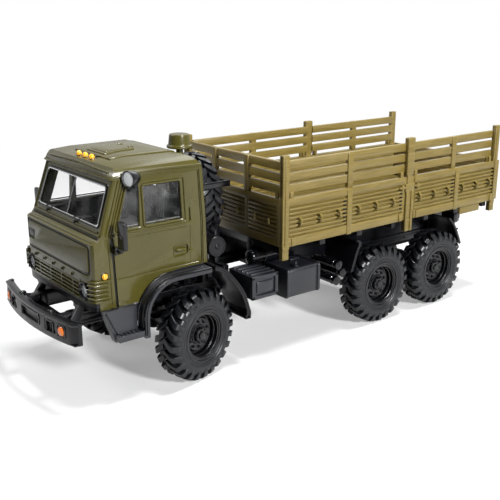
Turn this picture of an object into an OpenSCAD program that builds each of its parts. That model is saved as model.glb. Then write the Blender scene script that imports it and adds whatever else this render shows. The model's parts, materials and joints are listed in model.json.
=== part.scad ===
/* [Running gear] */
// Front axle to middle axle
wheelbase = 79.8; // [76:0.2:84]
// Middle axle to rear axle
bogie_spacing = 31.2; // [30.4:0.2:34]
// Width over the tyres' outer side walls
track_outer = 56.4; // [54:0.2:62]
// Tyre radius over the tread
tyre_r = 14.2; // [12.4:0.1:15]
// Tyre width
tyre_w = 8.8; // [7.4:0.1:9.6]
// Radius of the rim where the tyre sits on it
rim_r = 7.5; // [6.2:0.1:8.6]
// Radius of the steel axle rods and stub axles
rod_r = 0.9; // [0.7:0.05:1.1]
// Running clearance of every pin and rod in its bore
fit_gap = 0.06; // [0.03:0.01:0.1]
// Angle by which the front wheels stand turned to the left
steer_angle = 14; // [0:1:16]
// Kingpin to the middle plane of the tyre
kingpin_offset = 7.0; // [6.6:0.1:8]
// Length of the steering arms
steer_arm = 7.0; // [6:0.1:8]

/* [Chassis] */
// Front end of the bumper ahead of the wheel-arch line
bumper_front = 43.8; // [42:0.1:50]
// Bumper height
bumper_h = 6.6; // [5:0.1:8]
// Width over the two frame rails
frame_w = 24; // [22:0.2:25]
// Thickness of a frame rail
rail_t = 2.8; // [2:0.1:3.4]
// Height of a frame rail
rail_h = 4.4; // [3.6:0.1:5]
// Axle centre up to the underside of the frame rails
rail_lift = 6.7; // [6.2:0.1:8]

/* [Cab] */
// Cab width at the waist
cab_w = 44.4; // [42:0.2:46]
// Roof peak above the ground
cab_top = 69.3; // [67:0.1:74]
// Thickness of the cab walls
cab_wall = 1.2; // [0.9:0.1:1.5]
// Thickness of the window panes
pane_t = 0.7; // [0.5:0.1:0.9]
// Width over the wheel-arch flares
flare_w = 53.6; // [52:0.2:55]
// Radius of the pins that the cab tips on
hinge_pin_r = 0.8; // [0.6:0.05:1]

/* [Load bed] */
// Bed front face behind the wheel-arch line
bed_front = 30.2; // [29:0.1:33]
// Bed length without the tailgate
bed_len = 110; // [106:0.5:130]
// Bed width over the posts
bed_w = 55.6; // [54:0.2:60]
// Underside of the bed floor above the frame rails
bed_lift = 11.1; // [10.4:0.1:13]
// Thickness of the bed floor
floor_t = 1.6; // [1.2:0.1:2.2]
// Height of the lower boards
board_h = 15.7; // [13:0.1:18]
// Thickness of the lower boards
board_t = 1.4; // [1:0.1:1.8]
// Height of the posts above the bed floor's underside
post_h = 29.6; // [27:0.1:36]
// Height of one rack slat
slat_h = 2.8; // [2.4:0.1:3.2]
// Thickness of a rack slat
slat_t = 1.2; // [0.8:0.1:1.6]
// Number of slats in a rack
slat_count = 3; // [2:1:3]
// Thickness of the tailgate
gate_t = 1.5; // [1.2:0.1:2]

/* [Hidden] */
$fn = 48;
eps = 0.01;

// Stations along the truck are measured forward from the line through the top of the
// front wheel arch. The origin then lies on the ground under the middle of the overall box.
gate_gap = 0.2;
rear_end = -bed_front - bed_len - gate_gap - gate_t;
origin_shift = -(bumper_front + rear_end) / 2;

// Running gear
axle_z = tyre_r;
front_axle = 2.6;
middle_axle = front_axle - wheelbase;
rear_axle = middle_axle - bogie_spacing;
wheel_y = (track_outer - tyre_w) / 2;
kingpin_y = wheel_y - kingpin_offset;
beam_r = 1.9;
housing_r = 2.0;
diff_r = 4.2;
housing_end = wheel_y - tyre_w / 2 - 1.5;
pad_h = 0.5;
pin_r = 0.75;
ear_r = 2.0;
ear_t = 1.2;
knuckle_h = 3.9;
knuckle_r = 1.9;
arm_w = 1.4;
tie_r = 0.7;
hub_depth = 2.1;

// Frame
rail_z = axle_z + rail_lift;
rail_top = rail_z + rail_h;
rail_y = frame_w / 2;
rail_in = rail_y - rail_t;
frame_front = bumper_front - 4.4;
frame_rear = rear_end + 4.6;
cross_h = 2;
cross_w = 4;
cross_stations = [frame_front - 2.4, 20, -14, -43, -93, frame_rear + cross_w / 2];
tow_bore_r = 0.9;
screw_r = 1.0;

// Cab tilt hinge, under the front edge of the cab
hinge_x = 35.5;
hinge_z = rail_z + 2.4;

// Cab levels, all tied to the frame
cab_lift = 2.9;
cab_bottom = rail_top + cab_lift;
valance_h = 2.2;
floor_low = cab_bottom + 1.2;
floor_high = rail_top + 12.4;
floor_plate = 1.0;
waist_z = rail_top + 23.4;
sill_z = waist_z + 2.3;
head_z = cab_top - 6.2;
gutter_z = cab_top - 2.9;
cab_half = cab_w / 2;
roof_half = cab_half - 1.0;
cab_rear = -5.2;
face_x = 34.2;
cab_front_half = cab_half - 4.6;

// Wheel arch: its opening and its outer line as seen from the side
arch_top = rail_top + 10.3;
arch_in = arch_top - 1.9;
arch_front = 18.4;
arch_r = 9.8;
arch_flat = 2.6;
flare_half = flare_w / 2;
liner_y = 14.2;
step_z = axle_z + 5.2;

// Bed levels
bed_z = rail_top + bed_lift;
bed_top = bed_z + floor_t;
board_top = bed_z + board_h;
post_top = bed_z + post_h;
post_foot = bed_z - 4.2;
post_w = 2.6;
bearer_pitch = (bed_len - 5.6) / 6;
bed_rear = -bed_front - bed_len;
bed_mid = -bed_front - bed_len * 0.537;
bed_half = bed_w / 2;
board_out = bed_half - 0.4;
board_in = board_out - board_t;
rack_out = bed_half - 1.3;
rack_in = rack_out - slat_t;
rack_gap = 1.6;
rack_drop = 2.0;
slat_pitch = (post_top - board_top - rack_gap - rack_drop - slat_h) / max(slat_count - 1, 1);
stile_w = 2.4;
stile_t = 0.5;
bearer_h = 2.4;
toolbox_h = 3.6;
gate_pin_r = 0.5;
gate_lug_r = 1.0;
gate_pin_x = rear_end + gate_lug_r;
gate_pin_z = bed_z - gate_lug_r;

// Spare wheel, standing upright behind the cab
spare_x = -13.9;
spare_z = rail_top + 25.6;

OLIVE = "#6b6638";
BED_OLIVE = "#8a7d4a";
BLACK = "#2b2c2e";
RUBBER = "#3a3b3f";
STEEL = "#a9abad";
AMBER = "#ff9a1a";
GLASS = "#c9d3d6";
RED = "#a3231d";

module station(x = 0, z = 0) { translate([origin_shift + x, 0, z]) children(); }
module both_sides() { children(); mirror([0, 1, 0]) children(); }

// A side outline in x and z, given thickness from y0 to y1
module side_plate(points, y0, y1) {
    translate([0, y1, 0]) rotate([90, 0, 0]) linear_extrude(y1 - y0) polygon(points);
}

// A bar or tube lying along y between y0 and y1
module y_rod(r, y0, y1) {
    translate([0, y1, 0]) rotate([90, 0, 0]) cylinder(r = r, h = y1 - y0);
}

module x_rod(r, x0, x1) {
    translate([x0, 0, 0]) rotate([0, 90, 0]) cylinder(r = r, h = x1 - x0);
}

module span(lo, hi) { translate(lo) cube(hi - lo); }

function arc(cx, cz, r, a0, a1, n = 8) =
    [for (i = [0:n]) let (a = a0 + (a1 - a0) * i / n) [cx + r * cos(a), cz + r * sin(a)]];

// ---------------------------------------------------------------- frame
module cross_member(x) {
    span([x - cross_w / 2, -rail_in, rail_z], [x + cross_w / 2, rail_in, rail_z + cross_h]);
}

module frame_rails() {
    color(BLACK) station() difference() {
        union() {
            both_sides() {
                span([frame_rear, rail_in, rail_z], [frame_front, rail_y, rail_top]);
                translate([hinge_x, 0, hinge_z]) y_rod(hinge_pin_r + 1.5, rail_in, rail_y);
            }
            for (x = cross_stations) cross_member(x);
            span([rear_end + 1, -3, rail_z], [frame_rear + eps, 3, rail_z + cross_h]);
        }
        translate([hinge_x, 0, hinge_z]) y_rod(hinge_pin_r + fit_gap, -frame_w, frame_w);
        translate([(rear_end + 1 + frame_rear) / 2, 0, rail_z - 1]) cylinder(r = tow_bore_r, h = rail_h);
        for (x = [cross_stations[0], cross_stations[4]])
            translate([x, 0, rail_z - 1]) cylinder(r = screw_r, h = cross_h + 2);
    }
}

// The bumper is a shallow arc in plan with its ends turned back
bumper_z = rail_z - 0.6;
bumper_half = 24.2;
bumper_lamp_y = 18.4;

module bumper_plan(grow) {
    arc_r = 100;
    end_angle = asin((bumper_half - 2.6) / arc_r);
    edge_x = bumper_front - arc_r * (1 - cos(end_angle));
    right = [for (i = [0:6]) let (a = end_angle * i / 6)
        [bumper_front - arc_r + (arc_r - grow) * cos(a), (arc_r - grow) * sin(a)]];
    tip = [[edge_x - 0.8 - grow * 0.6, bumper_half - 1 - grow * 0.8], [edge_x - 1.9 - grow * 0.3, bumper_half - grow],
        [edge_x - 3 - grow, bumper_half - grow]];
    polygon(concat(right, tip, [for (i = [2:-1:0]) [tip[i][0], -tip[i][1]]],
        [for (i = [6:-1:1]) [right[i][0], -right[i][1]]]));
}

module front_bumper() {
    horn_z = rail_z - bumper_z;
    color(BLACK) station(0, bumper_z) union() {
        difference() {
            linear_extrude(bumper_h) bumper_plan(0);
            translate([0, 0, -1]) linear_extrude(bumper_h + 2) bumper_plan(1.3);
            both_sides() span([bumper_front - 8, 10.2, 1.8], [bumper_front, 15.6, 5]);
            both_sides() translate([0, bumper_lamp_y, bumper_h / 2]) x_rod(1.4, bumper_front - 8, bumper_front);
        }
        both_sides() span([frame_front, rail_in, horn_z], [frame_front + 2.8, rail_y, horn_z + rail_h]);
        both_sides() translate([frame_front + 1.3, rail_y - 1, horn_z + rail_h]) cylinder(r = 0.9, h = 1.4);
    }
}

module bumper_lamps() {
    color(AMBER) station(0, bumper_z + bumper_h / 2) both_sides()
        translate([0, bumper_lamp_y, 0]) x_rod(1.4, bumper_front - 3.8, bumper_front - 1.9);
}

// ---------------------------------------------------------------- drive train
module engine_block() {
    base = rail_z + cross_h;
    color(BLACK) station() union() {
        span([-2.8, -6.5, base], [16.4, 6.5, floor_high - 4]);
        span([16.4 - eps, -6.5, base], [26, 6.5, cab_bottom - 1.2]);
        span([-25, -4.2, base], [-2.8 + eps, 4.2, rail_top + 1.5]);
    }
}

module transfer_case() {
    color(BLACK) station() union() {
        span([-47.5, -4.6, axle_z - 1.5], [-38.5, 4.6, rail_z]);
        translate([0, 0, axle_z + 2]) x_rod(2.4, -49, -37);
    }
}

// Tube of a live axle with its round differential housing
module differential() {
    rotate([90, 0, 0]) translate([0, 0, -3.4]) cylinder(r = diff_r, h = 6.8);
    x_rod(1.7, -diff_r - 1.2, diff_r + 1.2);
}

module spring_pads(half_t) {
    both_sides() span([-1.7, rail_in, 0], [1.7, rail_y, half_t + pad_h]);
}

module front_axle_beam() {
    yoke_y = kingpin_y - ear_r - 0.6;
    ear_gap = knuckle_h / 2 + 0.15;
    color(BLACK) station(front_axle, axle_z) difference() {
        union() {
            y_rod(beam_r, -yoke_y - 0.6, yoke_y + 0.6);
            differential();
            spring_pads(beam_r);
            both_sides() {
                for (s = [-1, 1]) translate([0, kingpin_y, s * (ear_gap + ear_t / 2) - ear_t / 2])
                    cylinder(r = ear_r, h = ear_t);
                for (s = [-1, 1]) translate([0, 0, s * (ear_gap + ear_t / 2) - ear_t / 2])
                    span([-ear_r, yoke_y - 0.6, 0], [ear_r, kingpin_y, ear_t]);
                span([-ear_r, yoke_y - 0.6, -ear_gap - ear_t], [ear_r, yoke_y, ear_gap + ear_t]);
            }
        }
        both_sides() translate([0, kingpin_y, -10]) cylinder(r = pin_r + fit_gap, h = 20);
        both_sides() translate([0, kingpin_y, -ear_gap]) cylinder(r = ear_r + 0.4, h = 2 * ear_gap);
    }
}

module axle_housings() {
    color(BLACK) for (x = [middle_axle, rear_axle]) station(x, axle_z) difference() {
        union() {
            y_rod(housing_r, -housing_end, housing_end);
            differential();
            spring_pads(housing_r);
        }
        y_rod(rod_r + fit_gap, -30, 30);
    }
}

// One leaf pack: level at the middle, its ends lifted or lowered by rise
function leaf_line(half, rise, t_mid, t_end, side) =
    [for (i = [-8:8]) let (u = i / 8) [u * half, rise * u * u + side * (t_end + (t_mid - t_end) * (1 - abs(u))) / 2]];

module leaf_pack(half, rise, t_mid, t_end, y0, y1) {
    low = leaf_line(half, rise, t_mid, t_end, -1);
    high = leaf_line(half, rise, t_mid, t_end, 1);
    side_plate(concat(low, [for (i = [16:-1:0]) high[i]]), y0, y1);
}

module leaf_springs() {
    thick = 1.8;
    front_z = axle_z + beam_r + pad_h + thick / 2;
    rear_z = axle_z + housing_r + pad_h;
    trunnion_z = rail_z - thick / 2;
    color(BLACK) both_sides() {
        station(front_axle) {
            translate([0, 0, front_z]) leaf_pack(17, rail_z - front_z - 0.4, thick, 0.8, rail_in, rail_y);
        }
        station((middle_axle + rear_axle) / 2) {
            translate([0, 0, trunnion_z]) leaf_pack(bogie_spacing / 2 + 1.5, rear_z + 0.8 - trunnion_z, thick, 0.8, rail_in, rail_y);
        }
    }
}

module drive_shafts() {
    front_reach = front_axle - diff_r - 1.2;
    case_front = -37;
    case_rear = -49;
    tilt = atan2(2, front_reach - case_front);
    rear_run = case_rear - (middle_axle + diff_r + 1.2);
    color(STEEL) union() {
        station(case_front + 0.1, axle_z + 2) rotate([0, tilt, 0]) x_rod(0.9, 0, front_reach - case_front - 0.3);
        station(case_rear - 0.1, axle_z + 2) rotate([0, -atan2(2, rear_run), 0]) x_rod(0.9, 0.4 - rear_run, 0);
        station(middle_axle - diff_r - 1.3, axle_z) x_rod(0.9, 2 * diff_r + 2.6 - bogie_spacing, 0);
    }
}

// ---------------------------------------------------------------- side equipment
module battery_box() {
    front = -20.4;
    rear = -31.2;
    out = 24.8;
    base = rail_z - 0.9;
    top = rail_top + 2.6;
    color(BLACK) station() difference() {
        union() {
            span([rear, rail_y, base], [front, out, top]);
            for (i = [0:4]) translate([0, 13.4 + i * 2.3, top - eps])
                span([rear, 0, 0], [front, 0.9, 0.5]);
        }
        span([rear + 1.6, out - 0.8, base + 1.5], [front - 1.6, out + 1, top - 1.6]);
    }
}

module fuel_tank() {
    front = -34.8;
    rear = -49.4;
    out = 25.2;
    base = axle_z + 3.2;
    top = rail_top + 2.2;
    y0 = rail_y + 0.6;
    r = 1.2;
    color(BLACK) station() union() {
        for (y = [y0 + r, out - r], z = [base + r, top - r])
            translate([0, y, z]) x_rod(r, rear, front);
        span([rear, y0 + r, base], [front, out - r, top]);
        span([rear, y0, base + r], [front, out, top - r]);
        for (x = [rear + 3.4, front - 4.4])
            span([x, rail_y, rail_z + 0.6], [x + 1, y0 + eps, rail_top - 0.6]);
        translate([-40.2, out - 2.4, top - eps]) cylinder(r = 1.1, h = 1.6);
    }
}

module air_tanks() {
    places = [[-58.4, rail_top - 0.8], [-60.6, rail_top - 3.9], [-57.6, rail_top - 6.3]];
    color(BLACK) station() union() {
        for (p = places) translate([p[0], 0, p[1]]) y_rod(1.45, rail_y + 1, 25);
        span([-61.8, rail_y, rail_z - 2.4], [-57, rail_y + 1 + eps, rail_top]);
    }
}

module air_cleaner() {
    x = -10.6;
    z = rail_top + 13.5;
    color(BLACK) station() union() {
        translate([x, 0, z]) y_rod(3.2, 12, 20);
        span([x - 1.2, rail_in, rail_top], [x + 1.2, rail_y + 1, z - 2.6]);
        span([x - 1.2, rail_in, z - 3.6], [x + 1.2, 13, z - 2.4]);
    }
}

module silencer() {
    x0 = -40.6;
    x1 = -26.6;
    y = rail_y + 2.8;
    z = rail_top + 5.6;
    color(BLACK) station() union() {
        translate([0, y, z]) x_rod(2.4, x0, x1);
        for (x = [x0 + 1.6, x0 + 7.4]) span([x, rail_y, z - 0.8], [x + 1.2, y, z + 0.8]);
    }
}

module air_intake() {
    x = -7.4;
    y = 4.6;
    cap_z = cab_top - 1.3;
    color(OLIVE) station(x) translate([0, y, 0]) union() {
        translate([0, 0, rail_top + 4.4]) cylinder(r = 1.1, h = cap_z - rail_top - 4.2);
        translate([0, 0, cap_z]) cylinder(r = 4.0, h = 0.9);
        translate([0, 0, cap_z + 0.9 - eps]) cylinder(r1 = 3.5, r2 = 3.1, h = 3.4);
    }
}

// Stands on the frame behind the cab; the cab's floor comes down on its two posts, and the
// air intake stands on its shelf
module cab_rest() {
    x0 = -6.3;
    x1 = -3.2;
    shelf_z = rail_top + 3.4;
    color(BLACK) station() union() {
        both_sides() span([x0, 7, rail_top], [x1, rail_y, floor_high]);
        span([x0, -7 - eps, shelf_z], [x1, 7 + eps, shelf_z + 2]);
        span([-8.8, 3, shelf_z], [x0 + eps, 6.2, shelf_z + 1]);
    }
}

// A frame of two uprights on a beam holds the wheel's hub bolt, and two straps hold its tread
module spare_carrier() {
    y0 = 3.5;
    y1 = 7;
    back = spare_x - tyre_w / 2 - 0.3;
    beam_z = rail_top + 1.9;
    strap_lo = spare_z + 5;
    strap_hi = strap_lo + 1.9;
    strap_y = sqrt(tyre_r * tyre_r - 25) + 0.2;
    color(BLACK) station() union() {
        both_sides() span([back - 2, rail_in, rail_top], [back, rail_y, beam_z + 1.8]);
        span([back - 2, -rail_y, beam_z], [back, rail_y, beam_z + 1.8]);
        both_sides() span([back - 2, y0, beam_z], [back, y1, strap_hi]);
        span([back - 2, -y0 - eps, spare_z - 1.6], [back, y0 + eps, spare_z + 1.6]);
        translate([0, 0, spare_z]) x_rod(rod_r, back - eps, spare_x + 1.9);
        both_sides() span([back - 1.2, y1 - eps, strap_lo], [back, strap_y + 0.8, strap_hi]);
        both_sides() span([back - 1.2, strap_y, strap_lo], [spare_x + tyre_w / 2, strap_y + 0.8, strap_hi]);
    }
}

module spare_tyre() {
    color(RUBBER) station(spare_x, spare_z) rotate([0, 0, -90]) tyre();
}

module spare_rim() {
    color(BLACK) station(spare_x, spare_z) rotate([0, 0, -90]) rim(rod_r + fit_gap);
}

// ---------------------------------------------------------------- mudguards and lamps
module mudguards() {
    wide = flare_half - 0.2;
    quarter = [[-4.9, arch_top - 0.5], [-8.6, arch_top - 2.2], [-12.7, arch_top - 6.6],
        [-15.9, arch_top - 11.4], [-17.8, arch_top - 16.8], [-18.2, arch_top - 18.2],
        [-17.6, arch_top - 20.4], [-16.2, arch_top - 19.8], [-16.5, arch_top - 16.6],
        [-14.7, arch_top - 11.9], [-11.6, arch_top - 7.4], [-7.9, arch_top - 3.3],
        [-4.9, arch_top - 1.9]];
    front_edge = middle_axle + tyre_r;
    rear_edge = rear_axle - tyre_r;
    top = bed_z - toolbox_h - 0.2;
    before = [[front_edge - 2.2, top], [front_edge - 3.9, rail_top + 6.6], [front_edge - 0.3, rail_z + 0.6],
        [front_edge + 0.6, rail_z + 0.6], [front_edge - 3, rail_top + 6.6], [front_edge - 1.3, top]];
    behind = [[rear_edge + 8.0, top], [rear_edge + 0.4, rail_z + 0.3], [rear_edge - 0.5, rail_z + 0.3],
        [rear_edge + 7.1, top]];
    color(BLACK) station() both_sides() {
        side_plate(quarter, liner_y, wide);
        span([-15.4, rail_y, rail_z], [-13.2, liner_y + eps, rail_z + 2]);
        side_plate(before, rail_y, wide);
        side_plate(behind, rail_y, wide);
    }
}

module tail_lamps() {
    top = bed_z - bearer_h;
    x = -bed_front - 1.6 - 5 * bearer_pitch;
    color(BLACK) station() both_sides() span([x - 2.2, 19.4, top - 4.2], [x + 0.2, 25.8, top]);
}

module toolbox() {
    x = -bed_front - 1.6 - 5 * bearer_pitch - 2.6;
    color(BED_OLIVE) station() span([x - 12, 14.4, bed_z - toolbox_h], [x, board_in, bed_z]);
}

// ---------------------------------------------------------------- load bed
module bed_floor() {
    color(BED_OLIVE) station() span([bed_rear, -board_in, bed_z], [-bed_front - board_t, board_in, bed_top]);
}

module bed_bearers() {
    ear = 1.2;
    lug = 3;
    color(BED_OLIVE) station() union() {
        both_sides() span([bed_rear, rail_in, rail_top], [-bed_front, rail_y, bed_z]);
        for (i = [0:6]) translate([-bed_front - 1.6 - i * bearer_pitch, 0, 0])
            span([-1.2, -board_in, bed_z - bearer_h], [1.2, board_in, bed_z]);
        for (y = [-17, 17]) translate([0, y, 0]) {
            for (s = [-1, 1]) translate([0, s * (lug / 2 + 0.2 + ear / 2), 0]) {
                translate([gate_pin_x, 0, gate_pin_z]) y_rod(gate_lug_r, -ear / 2, ear / 2);
                span([gate_pin_x, -ear / 2, gate_pin_z - gate_lug_r], [bed_rear + 2.9, ear / 2, gate_pin_z + gate_lug_r]);
            }
            translate([gate_pin_x, 0, gate_pin_z]) y_rod(gate_pin_r, -lug / 2 - 1, lug / 2 + 1);
        }
    }
}

module post(x0, x1) {
    span([x0, board_in, post_foot], [x1, bed_half, post_top]);
}

module side_boards() {
    color(BED_OLIVE) station() both_sides() union() {
        post(-bed_front - post_w, -bed_front);
        post(bed_mid - post_w / 2, bed_mid + post_w / 2);
        post(bed_rear, bed_rear + post_w);
        span([bed_rear + eps, board_in, bed_z], [-bed_front - eps, board_out, board_top]);
    }
}

module front_board() {
    color(BED_OLIVE) station()
        span([-bed_front - board_t, -board_in, bed_z], [-bed_front, board_in, board_top]);
}

// Slats from u0 to u1 along x, tied by one stile in the middle and stubs at the ends
module rack_panel(u0, u1, stiles) {
    for (i = [0:slat_count - 1]) translate([0, 0, board_top + rack_gap + i * slat_pitch])
        span([u0, 0, 0], [u1, slat_t, slat_h]);
    for (u = stiles) span([u - stile_w / 2, 0, board_top], [u + stile_w / 2, slat_t + stile_t, post_top - rack_drop]);
    for (u = [u0 + 1.4, u1 - 2.6]) span([u, 0, board_top], [u + 1.2, slat_t, board_top + rack_gap + eps]);
}

module racks() {
    front0 = -bed_front - post_w;
    mid0 = bed_mid + post_w / 2;
    mid1 = bed_mid - post_w / 2;
    rear0 = bed_rear + post_w;
    color(BED_OLIVE) station() {
        both_sides() translate([0, rack_in, 0]) {
            rack_panel(mid0, front0, [(mid0 + front0) / 2]);
            rack_panel(rear0, mid1, [(rear0 + mid1) / 2]);
        }
        translate([-bed_front - board_t, 0, 0]) rotate([0, 0, 90]) mirror([0, 1, 0])
            rack_panel(-board_in, board_in, [-9, 9]);
    }
}

module tailgate() {
    lug = 3;
    color(BED_OLIVE) station() difference() {
        union() {
            span([rear_end, -board_out, bed_z + 0.1], [rear_end + gate_t, board_out, board_top]);
            for (y = [-17, 17]) translate([gate_pin_x, y, gate_pin_z]) {
                y_rod(gate_lug_r, -lug / 2, lug / 2);
                span([-0.7, -lug / 2, 0], [0.7, lug / 2, 1.2]);
            }
        }
        for (y = [-17, 17]) translate([gate_pin_x, y, gate_pin_z]) y_rod(gate_pin_r + fit_gap, -3, 3);
    }
}

// ---------------------------------------------------------------- cab
// The three outlines below, drawn inwards by w, meet in the cab's outer or inner skin
function cab_side(w) = [
    [cab_rear + w, cab_bottom - 1], [face_x - w, cab_bottom - 1], [face_x - w, cab_bottom + 10.3],
    [face_x - 1.1 - w, waist_z - 1.3 - w / 2], [face_x - 3 - w, waist_z - 0.6 - w / 2],
    [face_x - 4 - w, waist_z + 0.8], [25.0 - w, head_z + 1.2 - w / 2], [25.8 - w, head_z + 1.6 - w / 2],
    [24.2 - w, cab_top - 1.7 - w], [16, cab_top - 0.5 - w], [5, cab_top - w],
    [w / 2 - 1.5, cab_top - 1.1 - w], [w - 3.9, gutter_z - 0.4 - w / 2], [cab_rear + 0.9 + w, head_z + 0.4]];

// The front bends back over its last few millimetres and meets the side at an edge
bend_r = 12.8;
bend_y = cab_half - 6.2;
function bend_end(w) = asin((cab_half - bend_y) / (bend_r - w));
function cab_plan(w) = concat(
    arc(face_x - bend_r, bend_y, bend_r - w, 0, bend_end(w), 5),
    [[cab_rear, cab_half], [cab_rear, -cab_half]],
    arc(face_x - bend_r, -bend_y, bend_r - w, 360 - bend_end(w), 360, 5));

function cab_front_half(w) = [
    [cab_half - w, cab_bottom - 1], [cab_half - w, waist_z], [roof_half - w, gutter_z - 0.3],
    [roof_half - 0.5 - w, gutter_z + 0.8 - w / 2], [roof_half - 3.4 - w, cab_top - 0.9 - w], [0, cab_top - w]];
function cab_front(w) = let (h = cab_front_half(w)) concat(h, [for (i = [4:-1:0]) [-h[i][0], h[i][1]]]);

module cab_solid(w) {
    intersection() {
        side_plate(cab_side(w), -cab_w, cab_w);
        linear_extrude(cab_top + 5) polygon(cab_plan(w));
        translate([-20, 0, 0]) rotate([90, 0, 90]) linear_extrude(70) polygon(cab_front(w));
    }
}

module screen_opening() {
    z0 = sill_z + 0.2;
    z1 = head_z - 0.2;
    translate([10, 0, 0]) rotate([90, 0, 90]) linear_extrude(30)
        polygon([[-cab_half + 2.3, z0], [cab_half - 2.3, z0], [roof_half - 2.1, z1], [-roof_half + 2.1, z1]]);
}

module side_openings() {
    z0 = sill_z - 0.5;
    z1 = head_z - 1.1;
    both_sides() {
        side_plate([[17.9, z0], [25.4, z0], [21.4, z1], [17.5, z1]], 15, cab_half + 1);
        side_plate([[3.7, z0], [16.2, z0], [16.3, z1], [3.9, z1]], 15, cab_half + 1);
    }
}

module rear_openings() {
    both_sides() span([cab_rear - 1, 3.6, sill_z], [-1.5, 17.6, head_z - 2.6]);
}

module lamp_pockets() {
    both_sides() span([face_x - 3.6, 15.6, cab_bottom + 2.7], [face_x + 2, 19.5, cab_bottom + 7.9]);
}

// Region taken up by the wheel arch, below the line where the flare meets the cab side
arch_out_r = 11.2;
arch_out_x = 4.6;
arch_out_z = arch_top - arch_out_r;

module arch_region() {
    side_plate(concat([[-8, arch_top]], arc(arch_out_x, arch_out_z, arch_out_r, 90, 20),
        [[15, cab_bottom - 2], [-8, cab_bottom - 2]]), -cab_w, cab_w);
}

module cab_shell() {
    color(OLIVE) station() difference() {
        cab_solid(0);
        cab_solid(cab_wall);
        span([-10, -cab_w, 0], [40, cab_w, cab_bottom]);
        span([face_x - 2.6, -cab_w, 0], [face_x + 2, cab_w, cab_bottom + valance_h]);
        arch_region();
        span([-10, -cab_half + 2, 0], [4, cab_half - 2, floor_high]);
        screen_opening();
        side_openings();
        rear_openings();
        lamp_pockets();
    }
}

module cab_floor() {
    color(BLACK) station() intersection() {
        side_plate([[cab_rear, floor_high], [17, floor_high], [17, floor_low], [face_x - 2.6, floor_low],
            [face_x - 2.6, floor_low + floor_plate], [17 + floor_plate, floor_low + floor_plate],
            [17 + floor_plate, floor_high + floor_plate], [cab_rear, floor_high + floor_plate]], -cab_w, cab_w);
        cab_solid(cab_wall);
    }
}

// Black bar under the grille; its two arms reach down to the pins that the cab tips on
module front_valance() {
    arm_y = rail_y + 0.2;
    arm_t = 1.4;
    color(BLACK) station() union() {
        intersection() {
            linear_extrude(cab_bottom + valance_h) polygon(cab_plan(0));
            span([face_x - 2.6, -cab_w, cab_bottom], [face_x, cab_w, cab_bottom + valance_h]);
        }
        both_sides() {
            side_plate([[face_x - 2.6, cab_bottom + eps], [face_x - 0.4, cab_bottom + eps],
                [hinge_x + 1.3, hinge_z + 0.5], [hinge_x - 1.3, hinge_z - 0.5]], arm_y, arm_y + arm_t);
            translate([hinge_x, 0, hinge_z]) y_rod(1.5, arm_y, arm_y + arm_t);
            translate([hinge_x, 0, hinge_z]) y_rod(hinge_pin_r, rail_in, arm_y + eps);
        }
    }
}

// The flare stands outside the cab side; the liner roofs the wheel inside it and ends in a
// wall in front of the tyre
wall_x = arch_front + arch_flat;
flare_t = 1.5;
skin_t = 1.0;
flare_rear = -3.6;
flare_x = arch_front - arch_r;
flare_z = arch_in - arch_r;

function flare_outline() = concat(
    [[arch_front, step_z - 1]], arc(flare_x, flare_z, arch_r, 0, 90), [[flare_rear, arch_in]],
    [[flare_rear, arch_in + flare_t]], arc(flare_x, flare_z, arch_r + flare_t, 90, 0),
    [[arch_front + flare_t, step_z - 1]]);

function liner_outline() = concat(
    [[wall_x - skin_t, step_z - 1], [wall_x - skin_t, cab_bottom - skin_t]],
    arc(arch_out_x, arch_out_z, arch_out_r - skin_t, 16, 90),
    [[flare_rear, arch_top - skin_t], [flare_rear, arch_top]],
    arc(arch_out_x, arch_out_z, arch_out_r, 90, 20), [[wall_x, cab_bottom], [wall_x, step_z - 1]]);

module cab_fenders() {
    color(BLACK) station() both_sides() union() {
        side_plate(liner_outline(), liner_y, cab_half + eps);
        side_plate(flare_outline(), cab_half, flare_half);
        side_plate([[wall_x - eps, step_z - 1], [face_x - 6, step_z - 1], [face_x - 2.6, cab_bottom],
            [wall_x - eps, cab_bottom]], cab_half - 0.6, cab_half + 1.8);
        span([arch_front + 1, cab_half - 0.6, step_z - 0.4], [face_x - 6, cab_half + 4.2, step_z + 1.4]);
    }
}

module panes() {
    difference() {
        cab_solid((cab_wall - pane_t) / 2);
        cab_solid((cab_wall + pane_t) / 2);
    }
}

module windscreen() {
    color(GLASS, 0.5) station() intersection() { panes(); screen_opening(); }
}

module cab_windows() {
    color(GLASS, 0.5) station() intersection() {
        panes();
        union() { side_openings(); rear_openings(); }
    }
}

module headlamps() {
    color(GLASS) station() intersection() {
        difference() { cab_solid(-0.3); cab_solid(cab_wall); }
        lamp_pockets();
    }
}

module marker_lamps() {
    color(AMBER) station() {
        difference() {
            for (y = [-4, 0, 4]) translate([22.4, y, cab_top - 3]) cylinder(r = 1, h = 3.2);
            cab_solid(0);
        }
        both_sides() translate([29.8, 0, cab_bottom + 9.6]) intersection() {
            y_rod(0.9, cab_half - 3, cab_half + 0.7);
            translate([-29.8, 0, -cab_bottom - 9.6]) difference() {
                cab_solid(-0.7);
                cab_solid(0);
            }
        }
    }
}

module searchlight() {
    r = 2.4;
    z = gutter_z - 1.6;
    y = cab_half + 1.9;
    color(BLACK) station() difference() {
        union() {
            translate([0, y, z]) {
                x_rod(r, 20.4, 22.4);
                translate([20.4 + eps, 0, 0]) rotate([0, -90, 0]) cylinder(r1 = r, r2 = 1.2, h = 3);
            }
            translate([20, 0, z]) y_rod(0.7, roof_half - 0.8, y);
        }
        cab_solid(0);
    }
}

module mirrors() {
    z = waist_z - 2.4;
    color(BLACK) station() difference() {
        both_sides() {
            span([25.5, cab_half + 3, z], [26.9, cab_half + 7.2, z + 8]);
            span([25.2, cab_half - 0.4, z - 2], [27.2, cab_half + 5, z + eps]);
        }
        cab_solid(0);
    }
}

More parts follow.
